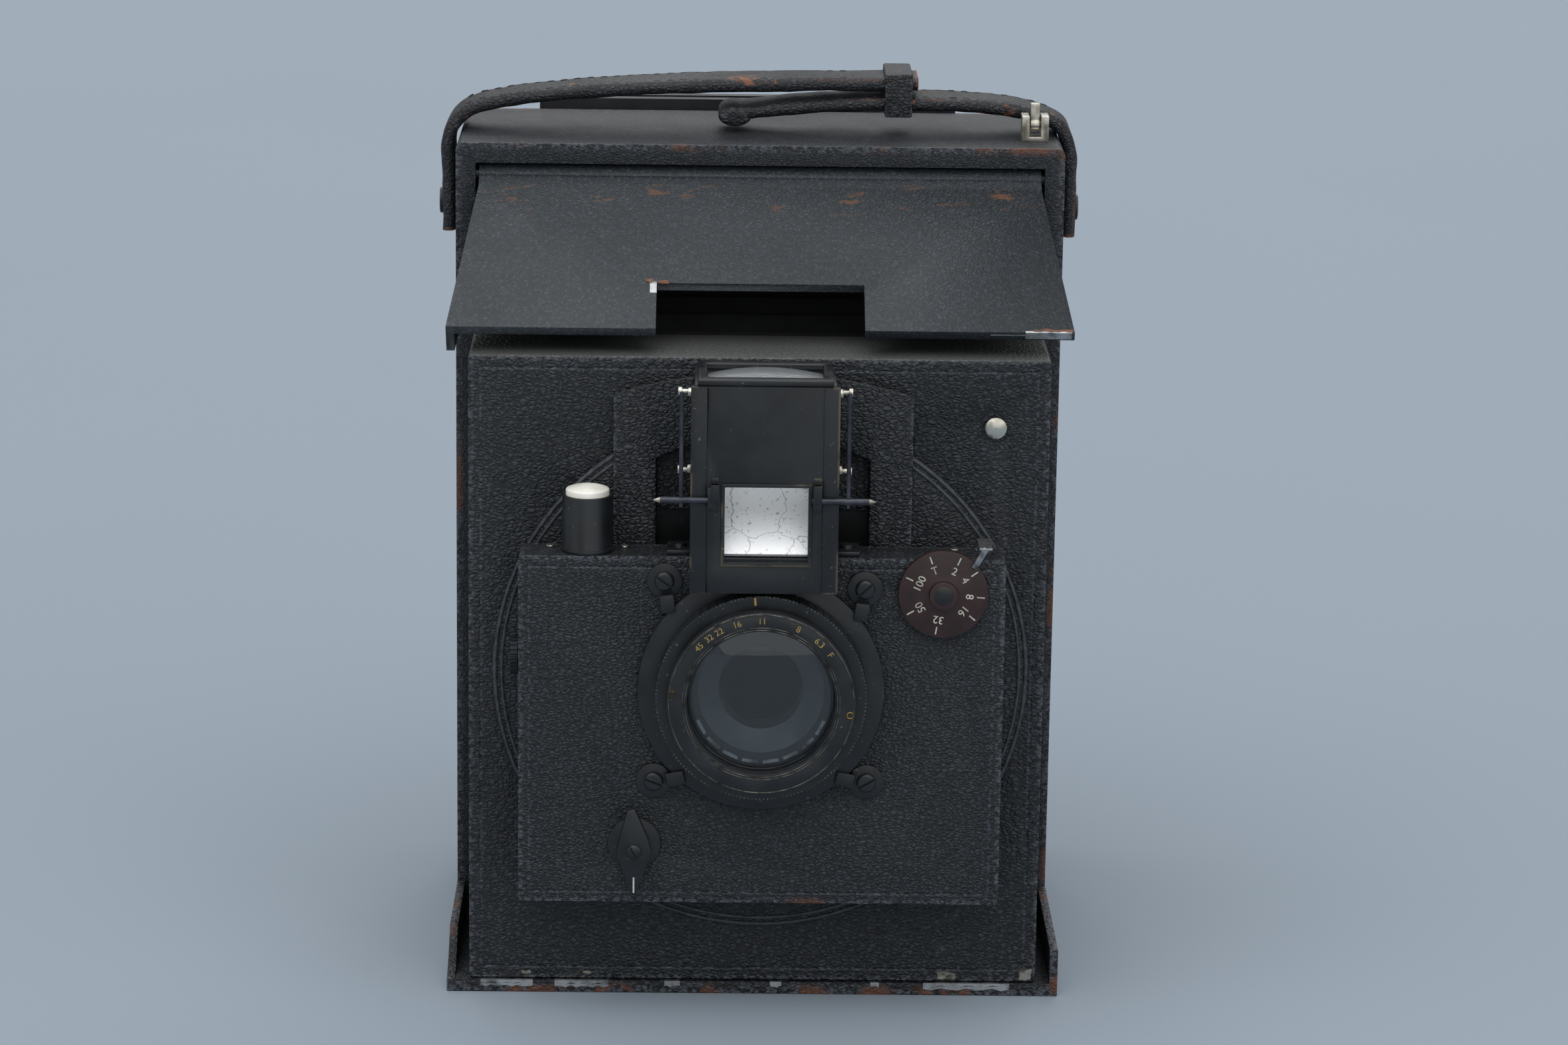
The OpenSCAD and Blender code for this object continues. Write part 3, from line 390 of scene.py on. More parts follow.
def plain(name, first, second, rough, scale, relief=0.1, metallic=0.0):
    """A painted, inked or cloth surface with two close tones."""
    made, tree, shader, place = blank(name)
    cloud = clouds(tree, place, scale, 7.0)
    share = spread(tree, cloud, 0.35, 0.7)
    shader.inputs["Metallic"].default_value = metallic
    surface(tree, shader, blend_colours(tree, share, ink(first), ink(second)), cloud, (rough, rough + 0.12),
            relief, 0.15)
    return made


NICKEL = plated("tarnished_nickel_plate", "#c9c6bb", "#7d7668", 0.24)
BRASS = plated("dull_cast_brass", "#a8874a", "#4c3a20", 0.34, 0.7)
TARNISHED = plated("blackened_nickel", "#a3a4a6", "#5a5a5c", 0.3, 0.5, 500.0)
BARE_METAL = plated("rubbed_bare_aluminium", "#b9bbbc", "#6f7172", 0.36, 0.5)
BLUED = plain("blackened_spring_steel", "#1b1d20", "#2c2f33", 0.35, 300.0, metallic=0.7)
BLADE_STEEL = plain("matt_shutter_steel", "#1c1f22", "#23272b", 0.55, 40.0, 0.02, 0.3)
BLACK_STEEL = plain("polished_black_steel", "#2f3138", "#484a52", 0.28, 300.0, 0.05, 0.6)
SHEATH_BLACK = plain("japanned_sheet_iron", "#121315", "#1f2124", 0.42, 160.0)
EBONISED = plain("ebonised_hardwood", "#17120f", "#2b2019", 0.5, 90.0, 0.3)
DIAL_BROWN = plain("maroon_dial_lacquer", "#231312", "#311a18", 0.36, 240.0, 0.15)
CAP_WHITE = plain("polished_ivory_nitrate", "#d8d5c9", "#f0eee4", 0.22, 180.0, 0.05)
GILT = plain("gilt_engraving_fill", "#b79c62", "#8f7540", 0.42, 500.0, 0.1, 0.3)
PALE_INK = plain("white_engraving_fill", "#cfccc0", "#9c998e", 0.5, 500.0)
print("finishes:", len(bpy.data.materials))

# %% [markdown]
# ## Glass and silvering
# The lens is bloomed by nothing but age: plain polished glass with a faint cool tint. The finder's top
# glass is a thin pane, which a little alpha keeps from darkening what lies under it. The finder's
# mirror is old silver behind glass, and its backing has crazed into fine dark cracks. A real mirror
# shader would show the empty studio, so the silver is kept mostly diffuse, and its pale tone is a painted
# reflection, made bright enough to show inside the shaded finder.

# %% Glass and mirror finishes
GLASS_INDEX = 1.52
SILVER_PAINTED_REFLECTION, SILVER_CRACK = "#fdfdfd", "#6d7076"


def polished_glass(name, tint, rough=0.0, clear=1.0, alpha=1.0):
    """Clear optical glass."""
    made, tree, shader, place = blank(name)
    cloud = clouds(tree, place, 60.0, 3.0)
    tree.links.new(blend_colours(tree, cloud, ink(tint), ink("#f4f8fa")), shader.inputs["Base Color"])
    shader.inputs["Roughness"].default_value = rough
    shader.inputs["IOR"].default_value = GLASS_INDEX
    shader.inputs["Transmission Weight"].default_value = clear
    shader.inputs["Alpha"].default_value = alpha
    return made


def crazed_silver(name):
    """Pale silvering, a painted reflection, broken up by long dark cracks and small spots."""
    made, tree, shader, place = blank(name)
    bent = clouds(tree, place, 160.0, 3.0, output="Color")
    warped = shift(tree, "ADD", place, shift(tree, "SCALE", bent, 0.006))
    cracks = put(tree, "ShaderNodeTexVoronoi", {"Vector": warped, "Scale": 95.0}, feature="DISTANCE_TO_EDGE")
    line = spread(tree, cracks.outputs["Distance"], 0.0, 0.014, 0.75, 0.0)
    flecks = clouds(tree, place, 1100.0, 4.0)
    marks = combine(tree, "MAXIMUM", line, spread(tree, flecks, 0.60, 0.72, 0.0, 0.7), clamp=True)
    tree.links.new(blend_colours(tree, marks, ink(SILVER_PAINTED_REFLECTION), ink(SILVER_CRACK)), shader.inputs["Base Color"])
    tree.links.new(spread(tree, flecks, 0.3, 0.7, 0.3, 0.45), shader.inputs["Roughness"])
    shader.inputs["Metallic"].default_value = 0.25
    return made


LENS_GLASS = polished_glass("polished_crown_glass", "#dfe8ef")
THIN_GLASS = polished_glass("thin_finder_glass", "#e6eef2", 0.03, 0.8, 0.7)
SILVERING = crazed_silver("crazed_silver_mirror")
print("glasses:", LENS_GLASS.name, "and", THIN_GLASS.name, "- mirror:", SILVERING.name)

# %% [markdown]
# ## Dressing the exact solids
# Most of the small metal pieces already have their true shape, so they keep their solids and only
# get a finish. Modelling them again would gain nothing and could move them off their joints. One table
# gives each slot of the record its finish, and a second names the few solids that differ from it.

# %% Finishes for the exact solids
FINISH = {"nickel": NICKEL, "brass": BRASS, "sheath_black": SHEATH_BLACK, "holder_wood": EBONISED,
          "dial_brown": DIAL_BROWN, "blade_steel": BLUED, "cap_white": CAP_WHITE, "lens_glass": LENS_GLASS,
          "mirror": SILVERING}
OWN_FINISH = {"side_wheel": BLUED, "setting_shaft": BLUED, "finder_arms": BLACK_STEEL,
              "dial_pointer": TARNISHED, "shutter_blade": BLADE_STEEL, "iris_blades": BLADE_STEEL,
              "finder_lens": THIN_GLASS}


def dress(piece, finish):
    """Gives a piece one finish."""
    piece.data.materials.clear()
    piece.data.materials.append(finish)


for node, solid in NODES.items():
    slot = SLOT_OF[node]
    if node in OWN_FINISH:
        dress(solid, OWN_FINISH[node])
    elif slot in FINISH:
        dress(solid, FINISH[slot])
    elif slot == "black_lacquer":
        dress(solid, lacquer("lacquered_" + node, lo(node), hi(node)))
print("solids dressed:", sum(1 for solid in NODES.values() if solid.data.materials))

# %% [markdown]
# ## Working on one piece at a time
# A Blender operator acts on what is selected, so every step here first selects its own piece. A
# finished piece has its place, turn and scale applied to its mesh, which leaves its object at the
# origin, and it then rides on the body that moves it.

# %% Piece helpers
SMOOTH_ANGLE = math.radians(32)


def deselect():
    """Leaves nothing selected."""
    bpy.ops.object.select_all(action="DESELECT")


def active():
    """The active object, which is the last one made."""
    return bpy.context.view_layer.objects.active


def pick(piece):
    """Selects one piece alone and makes it active."""
    deselect()
    piece.select_set(True)
    bpy.context.view_layer.objects.active = piece


def apply_place():
    """Makes place, turn and scale part of the selected mesh."""
    bpy.ops.object.transform_apply(location=True, rotation=True, scale=True)
    return active()


def settle(piece, name, body, slot, finish, *stands_for):
    """Names a finished piece, applies its place, and lets it ride on its body."""
    pick(piece)
    apply_place()
    piece.name = name
    piece.data.name = name
    dress(piece, finish)
    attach(piece, body)
    if stands_for:
        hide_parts(*stands_for)
    return piece


print("bodies to ride on:", len(set(BODY_OF.values())))

# %% [markdown]
# ## Rounding the leather-covered boxes
# Leather laid over a wooden edge never makes a sharp corner. A box could be modelled again, but its
# openings and slots would have to match the solid. So each covered box starts as a copy of its exact
# solid, is merged back into whole faces, and gets a narrow rounded bevel on every hard edge.

# %% Rounded copies
MERGE_GAP = 0.01


def whole_mesh(piece):
    """Opens a piece in edit mode with all of its mesh selected."""
    pick(piece)
    bpy.ops.object.mode_set(mode="EDIT")
    bpy.ops.mesh.select_all(action="SELECT")


def copy_of(node):
    """A free copy of an exact solid, merged, and with its flat faces made whole."""
    pick(NODES[node])
    bpy.ops.object.duplicate()
    piece = active()
    piece.parent = None
    piece.matrix_world = Matrix.Identity(4)
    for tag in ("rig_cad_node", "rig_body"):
        del piece[tag]
    whole_mesh(piece)
    bpy.ops.mesh.remove_doubles(threshold=MERGE_GAP * MM)
    bpy.ops.mesh.dissolve_limited(angle_limit=math.radians(0.5))
    bpy.ops.object.mode_set(mode="OBJECT")
    return piece


def ease_edges(piece, width_mm, segments=2, angle=35):
    """Rounds a piece's hard edges."""
    pick(piece)
    soft = piece.modifiers.new("eased", "BEVEL")
    soft.width = width_mm * MM
    soft.segments = segments
    soft.limit_method = "ANGLE"
    soft.angle_limit = math.radians(angle)
    bpy.ops.object.modifier_apply(modifier=soft.name)
    bpy.ops.object.shade_smooth_by_angle(angle=SMOOTH_ANGLE)
    return piece


def rounded_copy(node, width_mm, segments=3, angle=38):
    """A copy of an exact solid with its hard edges rounded."""
    return ease_edges(copy_of(node), width_mm, segments, angle)


print("solids to copy from:", len(NODES))

# %% [markdown]
# ## The leather-covered pieces
# The case, its two flaps, the front box, the disc, its raised strip and the shutter's box are covered.
# A table holds the width of each bevel and what sets its leather apart: the case has the finest pebble,
# the base flap is torn in small patches, and the top flap is paler and rubbed brown near its hinge.
# One table is easier to compare and to tune than seven separate steps.

# %% Leather-covered pieces
# A crown tone is the painted highlight on the tops of the pebbles, and a dusty top is dust with painted light.
COVERED = {"case_shell": ("covered_case", 1.0, {"wear": 0.75, "reach_mm": 2.0, "pebble_mm": 0.85, "relief": 0.4,
                                                "base": "#191c1f"}),
           "front_box": ("covered_front_box", 0.9, {"tool_mm": 3.0, "dust_and_light_on_top": 0.55}),
           "revolving_disc": ("covered_revolving_disc", 0.4, {"reach_mm": 1.0}),
           "raised_strip": ("covered_raised_strip", 0.35, {"reach_mm": 1.0, "wear": 0.6, "relief": 0.75}),
           "shutter_box": ("covered_shutter_box", 0.8, {"wear": 0.3, "pebble_mm": 1.0, "tool_mm": 2.6}),
           "base_flap": ("covered_base_flap", 0.5, {"wear": 0.75, "relief": 0.5, "reach_mm": 3.0,
                                                    "base": "#121316", "tear_mm": 9.0}),
           "top_flap": ("covered_top_flap", 0.6, {"pebble_mm": 0.9, "relief": 0.3, "wear": 0.5,
                                                  "base": "#262b2f", "pebble_highlight_tone": "#3a4046",
                                                  "scuff_z": (190.0, 197.0), "hide": "#75533f", "dusty": 0.1,
                                                  "rough": 0.5})}
for node, (name, width, looks) in COVERED.items():
    skin = leather(name + "_hide", lo(node), hi(node), **looks)
    settle(rounded_copy(node, width), name, BODY_OF[node], SLOT_OF[node], skin, node)
print("covered pieces:", len(COVERED))

# %% [markdown]
# ## Small fittings with eased edges
# Turned and filed metal has no knife edges. Each small fitting is a merged copy of its exact solid with
# a hair-thin bevel, which is what catches the light along an edge. A bevel in the material would look
# alike from the front, but the mesh itself would stay sharp.

# %% Eased fittings
EASED = {"pump_cap": 0.25, "pump_cylinder": 0.3, "latch_button": 0.1, "speed_dial": 0.3, "lens_flange": 0.35,
         "front_cell": 0.3, "finder_body": 0.2, "finder_panel": 0.2, "finder_top_frame": 0.3,
         "finder_brackets": 0.25, "catch_post": 0.4, "catch_lever": 0.35, "finder_pivot_screws": 0.3,
         "shutter_screws": 0.2, "setting_knob": 0.4, "setting_washer": 0.2, "strap_studs": 0.3, "lens_barrel": 0.2,
         "dial_pointer": 0.15}
for node, width in EASED.items():
    look = NODES[node].data.materials[0]
    fitting = rounded_copy(node, width, 2)
    settle(fitting, "eased_" + node, BODY_OF[node], SLOT_OF[node], look, node)
print("eased fittings:", len(EASED))

# %% [markdown]
# ## The bellows
# Between the front box and the back of the case hangs a pleated leather bellows. Its pleats come from
# the exact solid, and each fold is rounded. The piece rides on the case and gets a mesh of its own.
# Folding each pleat on its own would need a bone for each, and none of it would show from outside.

# %% Bellows
bellows = rounded_copy("bellows", 0.5, 2, 12)
settle(bellows, "pleated_bellows", "case", "bellows_leather",
       plain("thin_bellows_leather", "#0e0f10", "#1a1b1d", 0.62, 220.0, 0.3), "bellows")
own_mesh(bellows)

# %% [markdown]
# ## The carrying strap
# Two lengths of harness leather meet at a stitched loop. A box could be bent along the route, but its
# section would pinch at each bend. So each length is a flat curve with a thin rounded section: the
# curve's extrude gives the width of the strap and its bevel gives the thickness and the burnished
# round edge. The curve is then made a mesh, and a weak noise swells it, as old leather is never flat.

# %% Straps
STRAP_WIDTH = 16.0
STRAP_THICK = 3.4
STRAP_INNER_X = 77.5
STRAP_X = STRAP_INNER_X + STRAP_THICK / 2
LONG_ROUTE = [(-STRAP_X, 180), (-STRAP_X, 196), (-80.0, 203), (-77.5, 208.5), (-72.5, 212), (-62.5, 214),
              (-45.5, 216), (-20, 217.6), (0, 218.2), (20, 218.6), (40, 218.8)]
SHORT_ROUTE = [(STRAP_X, 180), (STRAP_X, 197), (STRAP_X, 203), (76.8, 208.8), (70.5, 211.3), (62.5, 212.8),
               (50, 213.8), (36, 213.9), (20, 213.4), (6, 212.2), (-6, 210.6)]
# The strap's crown tone is the painted highlight on the tops of its pebbles.
STRAP_LOOK = {"base": "#1b1b1e", "pebble_highlight_tone": "#34363c", "hide": "#8a5334", "rough": 0.5, "wear": 1.6,
              "reach_mm": 1.0, "rub_level": 0.695, "rub_mm": 14.0}
WELD_GAP = 0.02
SWELL_SIZE, SWELL = 4.5, 0.3


def weld(piece, gap_mm):
    """Merges points closer than a gap, and turns every face outwards."""
    whole_mesh(piece)
    bpy.ops.mesh.remove_doubles(threshold=gap_mm * MM)
    bpy.ops.mesh.normals_make_consistent(inside=False)
    bpy.ops.object.mode_set(mode="OBJECT")


def flat_curve(kind, points):
    """A new flat curve through points given in mm."""
    deselect()
    bpy.ops.curve.primitive_bezier_curve_add(location=(0, 0, 0))
    line = active().data
    line.dimensions = "2D"
    line.fill_mode = "NONE"
    line.splines.clear()
    run = line.splines.new(kind)
    run.points.add(len(points) - 1)
    for point, (first, second) in zip(run.points, points):
        point.co = (first * MM, second * MM, 0.0, 1.0)
    return line, run


def strap(name, route, node):
    """A flat strap with rounded edges along a route of x and z, in mm."""
    line, run = flat_curve("NURBS", route)
    run.order_u = 3
    run.use_endpoint_u = True
    run.resolution_u = 8
    line.extrude = (STRAP_WIDTH - STRAP_THICK) / 2 * MM
    line.bevel_depth = STRAP_THICK / 2 * MM
    line.bevel_resolution = 4
    line.use_fill_caps = True
    active().rotation_euler = Euler((math.pi / 2, 0, 0))
    bpy.ops.object.convert(target="MESH")
    piece = active()
    weld(piece, WELD_GAP)
    bpy.ops.object.shade_smooth_by_angle(angle=math.radians(50))
    for v in piece.data.vertices:
        v.co += v.normal * noise.noise(v.co / (SWELL_SIZE * MM)) * SWELL * MM
    skin = leather(name + "_hide", lo(node), hi(node), **STRAP_LOOK)
    return settle(piece, name, "case", "strap_leather", skin, node)


for name, route, node in (("long_carrying_strap", LONG_ROUTE, "long_strap"),
                          ("short_carrying_strap", SHORT_ROUTE, "short_strap")):
    made_strap = strap(name, route, node)
    print(name, "has", len(made_strap.data.vertices), "points")

# %% [markdown]
# ## The strap's rolled end and its loop
# The short strap ends in a tight roll under the long one, and a stitched loop holds the two together.
# The roll's turns don't show, so a flattened cylinder with soft rims stands for it. The loop has its
# true shape in the exact solid, and a rounded copy is enough.

# %% Rolled end and loop
ROLL_R, ROLL_X, ROLL_Z, ROLL_SQUEEZE = 2.9, -6.5, 210.2, (1.45, 0.9, 1.0)
ROLL_LOW, ROLL_HIGH = (-10, -8, 207), (-3, 8, 213)
LOOP_LOOK = {"base": "#17181a", "pebble_mm": 1.1, "rough": 0.5}
deselect()
bpy.ops.mesh.primitive_cylinder_add(vertices=40, radius=ROLL_R * MM, depth=STRAP_WIDTH * MM,
                                    location=(ROLL_X * MM, 0, ROLL_Z * MM), rotation=(math.pi / 2, 0, 0))
active().scale = ROLL_SQUEEZE
roll = ease_edges(apply_place(), 1.4, 4)
settle(roll, "rolled_strap_end", "case", "strap_leather",
       leather("rolled_end_hide", ROLL_LOW, ROLL_HIGH, **LOOP_LOOK))
keeper_skin = leather("strap_loop_hide", lo("strap_keeper"), hi("strap_keeper"), relief=0.5, reach_mm=0.8,
                      **LOOP_LOOK)
settle(rounded_copy("strap_keeper", 0.5), "stitched_strap_loop", "case", "strap_leather", keeper_skin,
       "strap_keeper")
print("made", roll.name, "and the loop")

# %% [markdown]
# ## Stitches
# The straps are edged with a row of waxed thread, about 3.4 mm to a stitch. A bump in the leather would
# do from afar, but a stitch casts a small shadow. One stitch is a drawn-out ball, sunk in the strap by
# more than half; the rest are laid along the route in the same way, and all are joined into one piece.

# %% Stitching
STITCH_PITCH = 3.4
STITCH_LENGTH = 2.3
STITCH_R = 0.26
STITCH_SINK = 0.14
ROW_Y = STRAP_WIDTH / 2 - 2.4
THREAD = plain("waxed_black_thread", "#1c1b1a", "#34312d", 0.55, 900.0)


def join(pieces):
    """Makes one object of several."""
    deselect()
    for piece in pieces:
        piece.select_set(True)
    bpy.context.view_layer.objects.active = pieces[0]
    bpy.ops.object.join()
    return active()


def stitch(x, y, z, angle):
    """One stitch, in mm, lying at an angle in the XZ plane."""
    deselect()
    bpy.ops.mesh.primitive_uv_sphere_add(segments=6, ring_count=4, radius=STITCH_R * MM,
                                         location=(x * MM, y * MM, z * MM), rotation=(0, -angle, 0))
    active().scale = (STITCH_LENGTH / 2 / STITCH_R, 1.0, 1.0)
    return apply_place()


def stitch_rows(name, route, start_mm, end_mm, upper):
    """Two rows of stitches between two distances along a route; upper is -1 where it runs leftwards."""
    lift = upper * (STRAP_THICK / 2 - STITCH_SINK)
    pieces = []
    travelled = 0.0
    due = start_mm
    for (x0, z0), (x1, z1) in zip(route, route[1:]):
        length = math.hypot(x1 - x0, z1 - z0)
        angle = math.atan2(z1 - z0, x1 - x0)
        while due <= min(end_mm, travelled + length):
            share = (due - travelled) / length
            x = x0 + share * (x1 - x0) - math.sin(angle) * lift
            z = z0 + share * (z1 - z0) + math.cos(angle) * lift
            pieces += [stitch(x, y, z, angle) for y in (-ROW_Y, ROW_Y)]
            due += STITCH_PITCH
        travelled += length
    print(name, "has", len(pieces), "stitches")
    rows = join(pieces)
    bpy.ops.object.shade_smooth()
    return settle(rows, name, "case", "strap_leather", THREAD)


stitch_rows("long_strap_stitches", LONG_ROUTE, 34.0, 132.0, 1)
stitch_rows("short_strap_stitches", SHORT_ROUTE, 34.0, 70.0, -1)

# %% [markdown]
# ## Shapes to build from
# The small fittings on the front are all discs, boxes and turned shapes. A few functions make these in
# millimetres and facing the viewer, so that each fitting below is a short list of sizes. A turned
# shape is half an outline, drawn as a flat curve, made a mesh and spun by a screw modifier.

# %% Shape helpers
DISC_SIDES = 48
LATHE_STEPS = 96


def disc(radius, from_y, to_y, x, z):
    """A round plate that faces the viewer, in mm."""
    deselect()
    bpy.ops.mesh.primitive_cylinder_add(vertices=DISC_SIDES, radius=radius * MM, depth=(to_y - from_y) * MM,
                                        location=(x * MM, (from_y + to_y) / 2 * MM, z * MM),
                                        rotation=(math.pi / 2, 0, 0))
    return apply_place()


def block(x0, x1, y0, y1, z0, z1):
    """A box between two corners, in mm."""
    deselect()
    bpy.ops.mesh.primitive_cube_add(size=1.0)
    piece = active()
    piece.scale = ((x1 - x0) * MM, (y1 - y0) * MM, (z1 - z0) * MM)
    piece.location = ((x0 + x1) / 2 * MM, (y0 + y1) / 2 * MM, (z0 + z1) / 2 * MM)
    return apply_place()


def torus(radius, thick, x, y, z, segments, sides=8):
    """A thin ring that faces the viewer, in mm."""
    deselect()
    bpy.ops.mesh.primitive_torus_add(major_radius=radius * MM, minor_radius=thick * MM, major_segments=segments,
                                     minor_segments=sides, rotation=(math.pi / 2, 0, 0),
                                     location=(x * MM, y * MM, z * MM))
    piece = apply_place()
    bpy.ops.object.shade_smooth()
    return piece


def cut(piece, tool):
    """Takes one closed shape out of another, and deletes the tool."""
    pick(piece)
    hole = piece.modifiers.new("cut", "BOOLEAN")
    hole.operation = "DIFFERENCE"
    hole.object = tool
    hole.solver = "EXACT"
    bpy.ops.object.modifier_apply(modifier=hole.name)
    bpy.data.objects.remove(tool)
    return piece


def turned(piece, angle, x, z):
    """Turns a piece about a line through x and z that runs towards the viewer, clockwise as seen."""
    centre = Vector((x * MM, 0, z * MM))
    piece.data.transform(Matrix.Translation(centre) @ Matrix.Rotation(math.radians(angle), 4, "Y")
                         @ Matrix.Translation(-centre))
    return piece


def lathe(profile, x, z):
    """Turns an outline of (radius, depth) points, in mm, about a line towards the viewer."""
    run = flat_curve("POLY", profile)[1]
    run.use_cyclic_u = profile[0][0] > 0
    bpy.ops.object.convert(target="MESH")
    piece = active()
    spin = piece.modifiers.new("spin", "SCREW")
    spin.axis = "Y"
    spin.steps = LATHE_STEPS
    spin.render_steps = LATHE_STEPS
    spin.use_merge_vertices = True
    spin.merge_threshold = MERGE_GAP * MM
    bpy.ops.object.modifier_apply(modifier=spin.name)
    weld(piece, MERGE_GAP)
    piece.location = (x * MM, 0, z * MM)
    apply_place()
    bpy.ops.object.shade_smooth_by_angle(angle=math.radians(25))
    return piece


print("a turned shape has", LATHE_STEPS, "steps")

# %% [markdown]
# ## Screws and clamps round the lens
# Four slotted screws hold little clamps that reach over the rim of the lens flange. The head is a low
# dome: a disc whose upper rim is bevelled round, cut across by a thin box for the slot. One clamp is
# made at each place, with the slot turned as the last screwdriver left it, because four screws that
# all line up would look printed.

# %% Lens clamps
# Place of each screw, angle of its slot, and the way that its tab points
CLAMP_SPOTS = [(-22.6, 111.2, 35, 172), (25.9, 109.6, -42, 188), (-24.9, 60.7, 20, 78), (27.0, 60.8, -30, -78)]
WASHER_R, WASHER_T, HEAD_R, HEAD_T = 4.3, 1.0, 2.4, 1.6
SLOT_DEPTH, SLOT_HALF = 0.8, 0.28
TAB_HALF, TAB_START, TAB_END, STEM_END = 1.7, 3.2, 7.6, 4.1
TAB_FRONT, TAB_BACK, STEM_FRONT, STEM_BACK = 3.3, 2.55, 3.2, 0.2
LENS_X, LENS_Z = 1.0, 84.0
shutter_face = lo("shutter_box")[1]
washer_face = shutter_face - WASHER_T
head_face = washer_face - HEAD_T
clamps = []
for x, z, slot_angle, inward in CLAMP_SPOTS:
    washer = ease_edges(disc(WASHER_R, washer_face, shutter_face - 0.02, x, z), 0.25)
    head = ease_edges(disc(HEAD_R, head_face, washer_face + 0.01, x, z), 1.0, 4)
    groove = block(x - 4, x + 4, head_face - 1, head_face + SLOT_DEPTH, z - SLOT_HALF, z + SLOT_HALF)
    cut(head, turned(groove, slot_angle, x, z))
    # The tab runs from the washer to the flange and over its rim, on a stem
    tab = ease_edges(block(x - TAB_HALF, x + TAB_HALF, shutter_face - TAB_FRONT, shutter_face - TAB_BACK,
                           z + TAB_START, z + TAB_END), 0.2)
    stem = ease_edges(block(x - TAB_HALF, x + TAB_HALF, shutter_face - STEM_FRONT, shutter_face - STEM_BACK,
                            z + TAB_START, z + STEM_END), 0.2)
    clamps += [washer, head, turned(tab, inward, x, z), turned(stem, inward, x, z)]
settle(join(clamps), "slotted_lens_clamps", "rising_front", "black_lacquer",
       lacquer("lacquered_clamps", lo("lens_clamps"), hi("lens_clamps"), wear=0.1), "lens_clamps")
print("clamps:", len(CLAMP_SPOTS))

# %% [markdown]
# ## The glasses of the lens
# The glasses are turned shapes: a short arc of a large circle, spun about the lens axis, gives each
# polished dome. A flattened sphere would do too, but its rim would not be a true edge.

# %% Lens glasses
ARC_POINTS = 24
# Piece, node, radius, rise of its dome, and how far its back is kept forward of the solid's
GLASSES = [("front_lens_glass", "front_glass", 17.8, 1.8, 3.4), ("rear_lens_glass", "rear_glass", 14.9, 1.0, 0.0)]


def dome_profile(radius, back_y, edge_y, rise):
    """Half outline of a round glass, flat behind and domed in front, from the axis outwards and back."""
    big = (radius ** 2 + rise ** 2) / (2 * rise)
    arc = [(radius * i / ARC_POINTS, edge_y - (math.sqrt(big ** 2 - (radius * i / ARC_POINTS) ** 2) - big + rise))
           for i in range(ARC_POINTS + 1)]
    return arc + [(radius, back_y), (0.0, back_y)]


for name, node, radius, rise, forward_mm in GLASSES:
    pane = lathe(dome_profile(radius, hi(node)[1] - forward_mm, lo(node)[1] + rise, rise), LENS_X, LENS_Z)
    settle(pane, name, "rising_front", "lens_glass", LENS_GLASS, node)
print("glasses:", len(GLASSES))

# %% [markdown]
# ## Inside the barrel
# Behind the front glass the inside of the barrel steps down to the iris in blackened rings, and their
# edges show in the glass as the pale circles seen from outside. Each step is a turned angle, painted a
# little lighter than the one before it as a painted reflection, so that the deeper ones still show
# through the glass.
# Short bright marks are painted reflections of the edges of the iris housing, and thin rings stand for the bare
# rims.

# %% Inner rings, housing marks and rim lines
# Outer radius, its depth, inner radius, its depth, and two tones, paler on deeper steps as painted reflection
STEPS = [(17.6, -100.4, 16.0, -97.6, "#15181a", "#1c2023"), (16.0, -97.6, 14.6, -95.4, "#1d2124", "#24282c"),
         (14.6, -95.4, 9.6, -92.2, "#2b3034", "#353b40")]
STEP_WALL = 0.6
MARKS, FIRST_MARK, MARK_STEP = 8, 118, 17.7
MARK_HALF, MARK_DEPTHS, MARK_RADII = 1.9, (-99.9, -99.6), (15.6, 16.4)
RIM_RINGS = [(19.0, 0.12), (22.3, 0.16), (18.4, 0.14)]
for i, (outer, from_y, inner, to_y, dark, light) in enumerate(STEPS):
    back_y = to_y + STEP_WALL
    ring = lathe([(outer, from_y), (outer, back_y), (inner, back_y), (inner, to_y)], LENS_X, LENS_Z)
    settle(ring, "inner_step_%d" % i, "rising_front", "black_lacquer",
           plain("blackened_step_painted_reflection_%d" % i, dark, light, 0.42, 300.0))
# Painted reflections: short bright marks where the edge of the iris housing shows
glints = [turned(block(LENS_X - MARK_HALF, LENS_X + MARK_HALF, *MARK_DEPTHS, LENS_Z + MARK_RADII[0],
                       LENS_Z + MARK_RADII[1]), FIRST_MARK + i * MARK_STEP, LENS_X, LENS_Z) for i in range(MARKS)]
settle(join(glints), "housing_edges_painted_reflection", "rising_front", "nickel",
       plated("painted_reflection_silver_edge", "#8b9094", "#55595d", 0.5))
rim_face = lo("front_cell")[1]
rims = [torus(radius, thick, LENS_X, rim_face, LENS_Z, 128) for radius, thick in RIM_RINGS]
settle(join(rims), "turned_rim_lines", "rising_front", "nickel",
       plated("worn_rim_metal", "#6e6c66", "#2c2b29", 0.35, 0.7, 400.0))
print("steps:", len(STEPS), "marks:", MARKS, "rim lines:", len(RIM_RINGS))

# %% [markdown]
# ## The milled ring
# The ring that sets the iris is cut with fine teeth, so that fingers can grip it. Wear has polished the
# tip of each tooth. Cutting that many notches would be slow; laying a thin pale tip on the rim at each
# tooth, partly worn metal and partly a painted highlight, gives the same sparkle for far less.

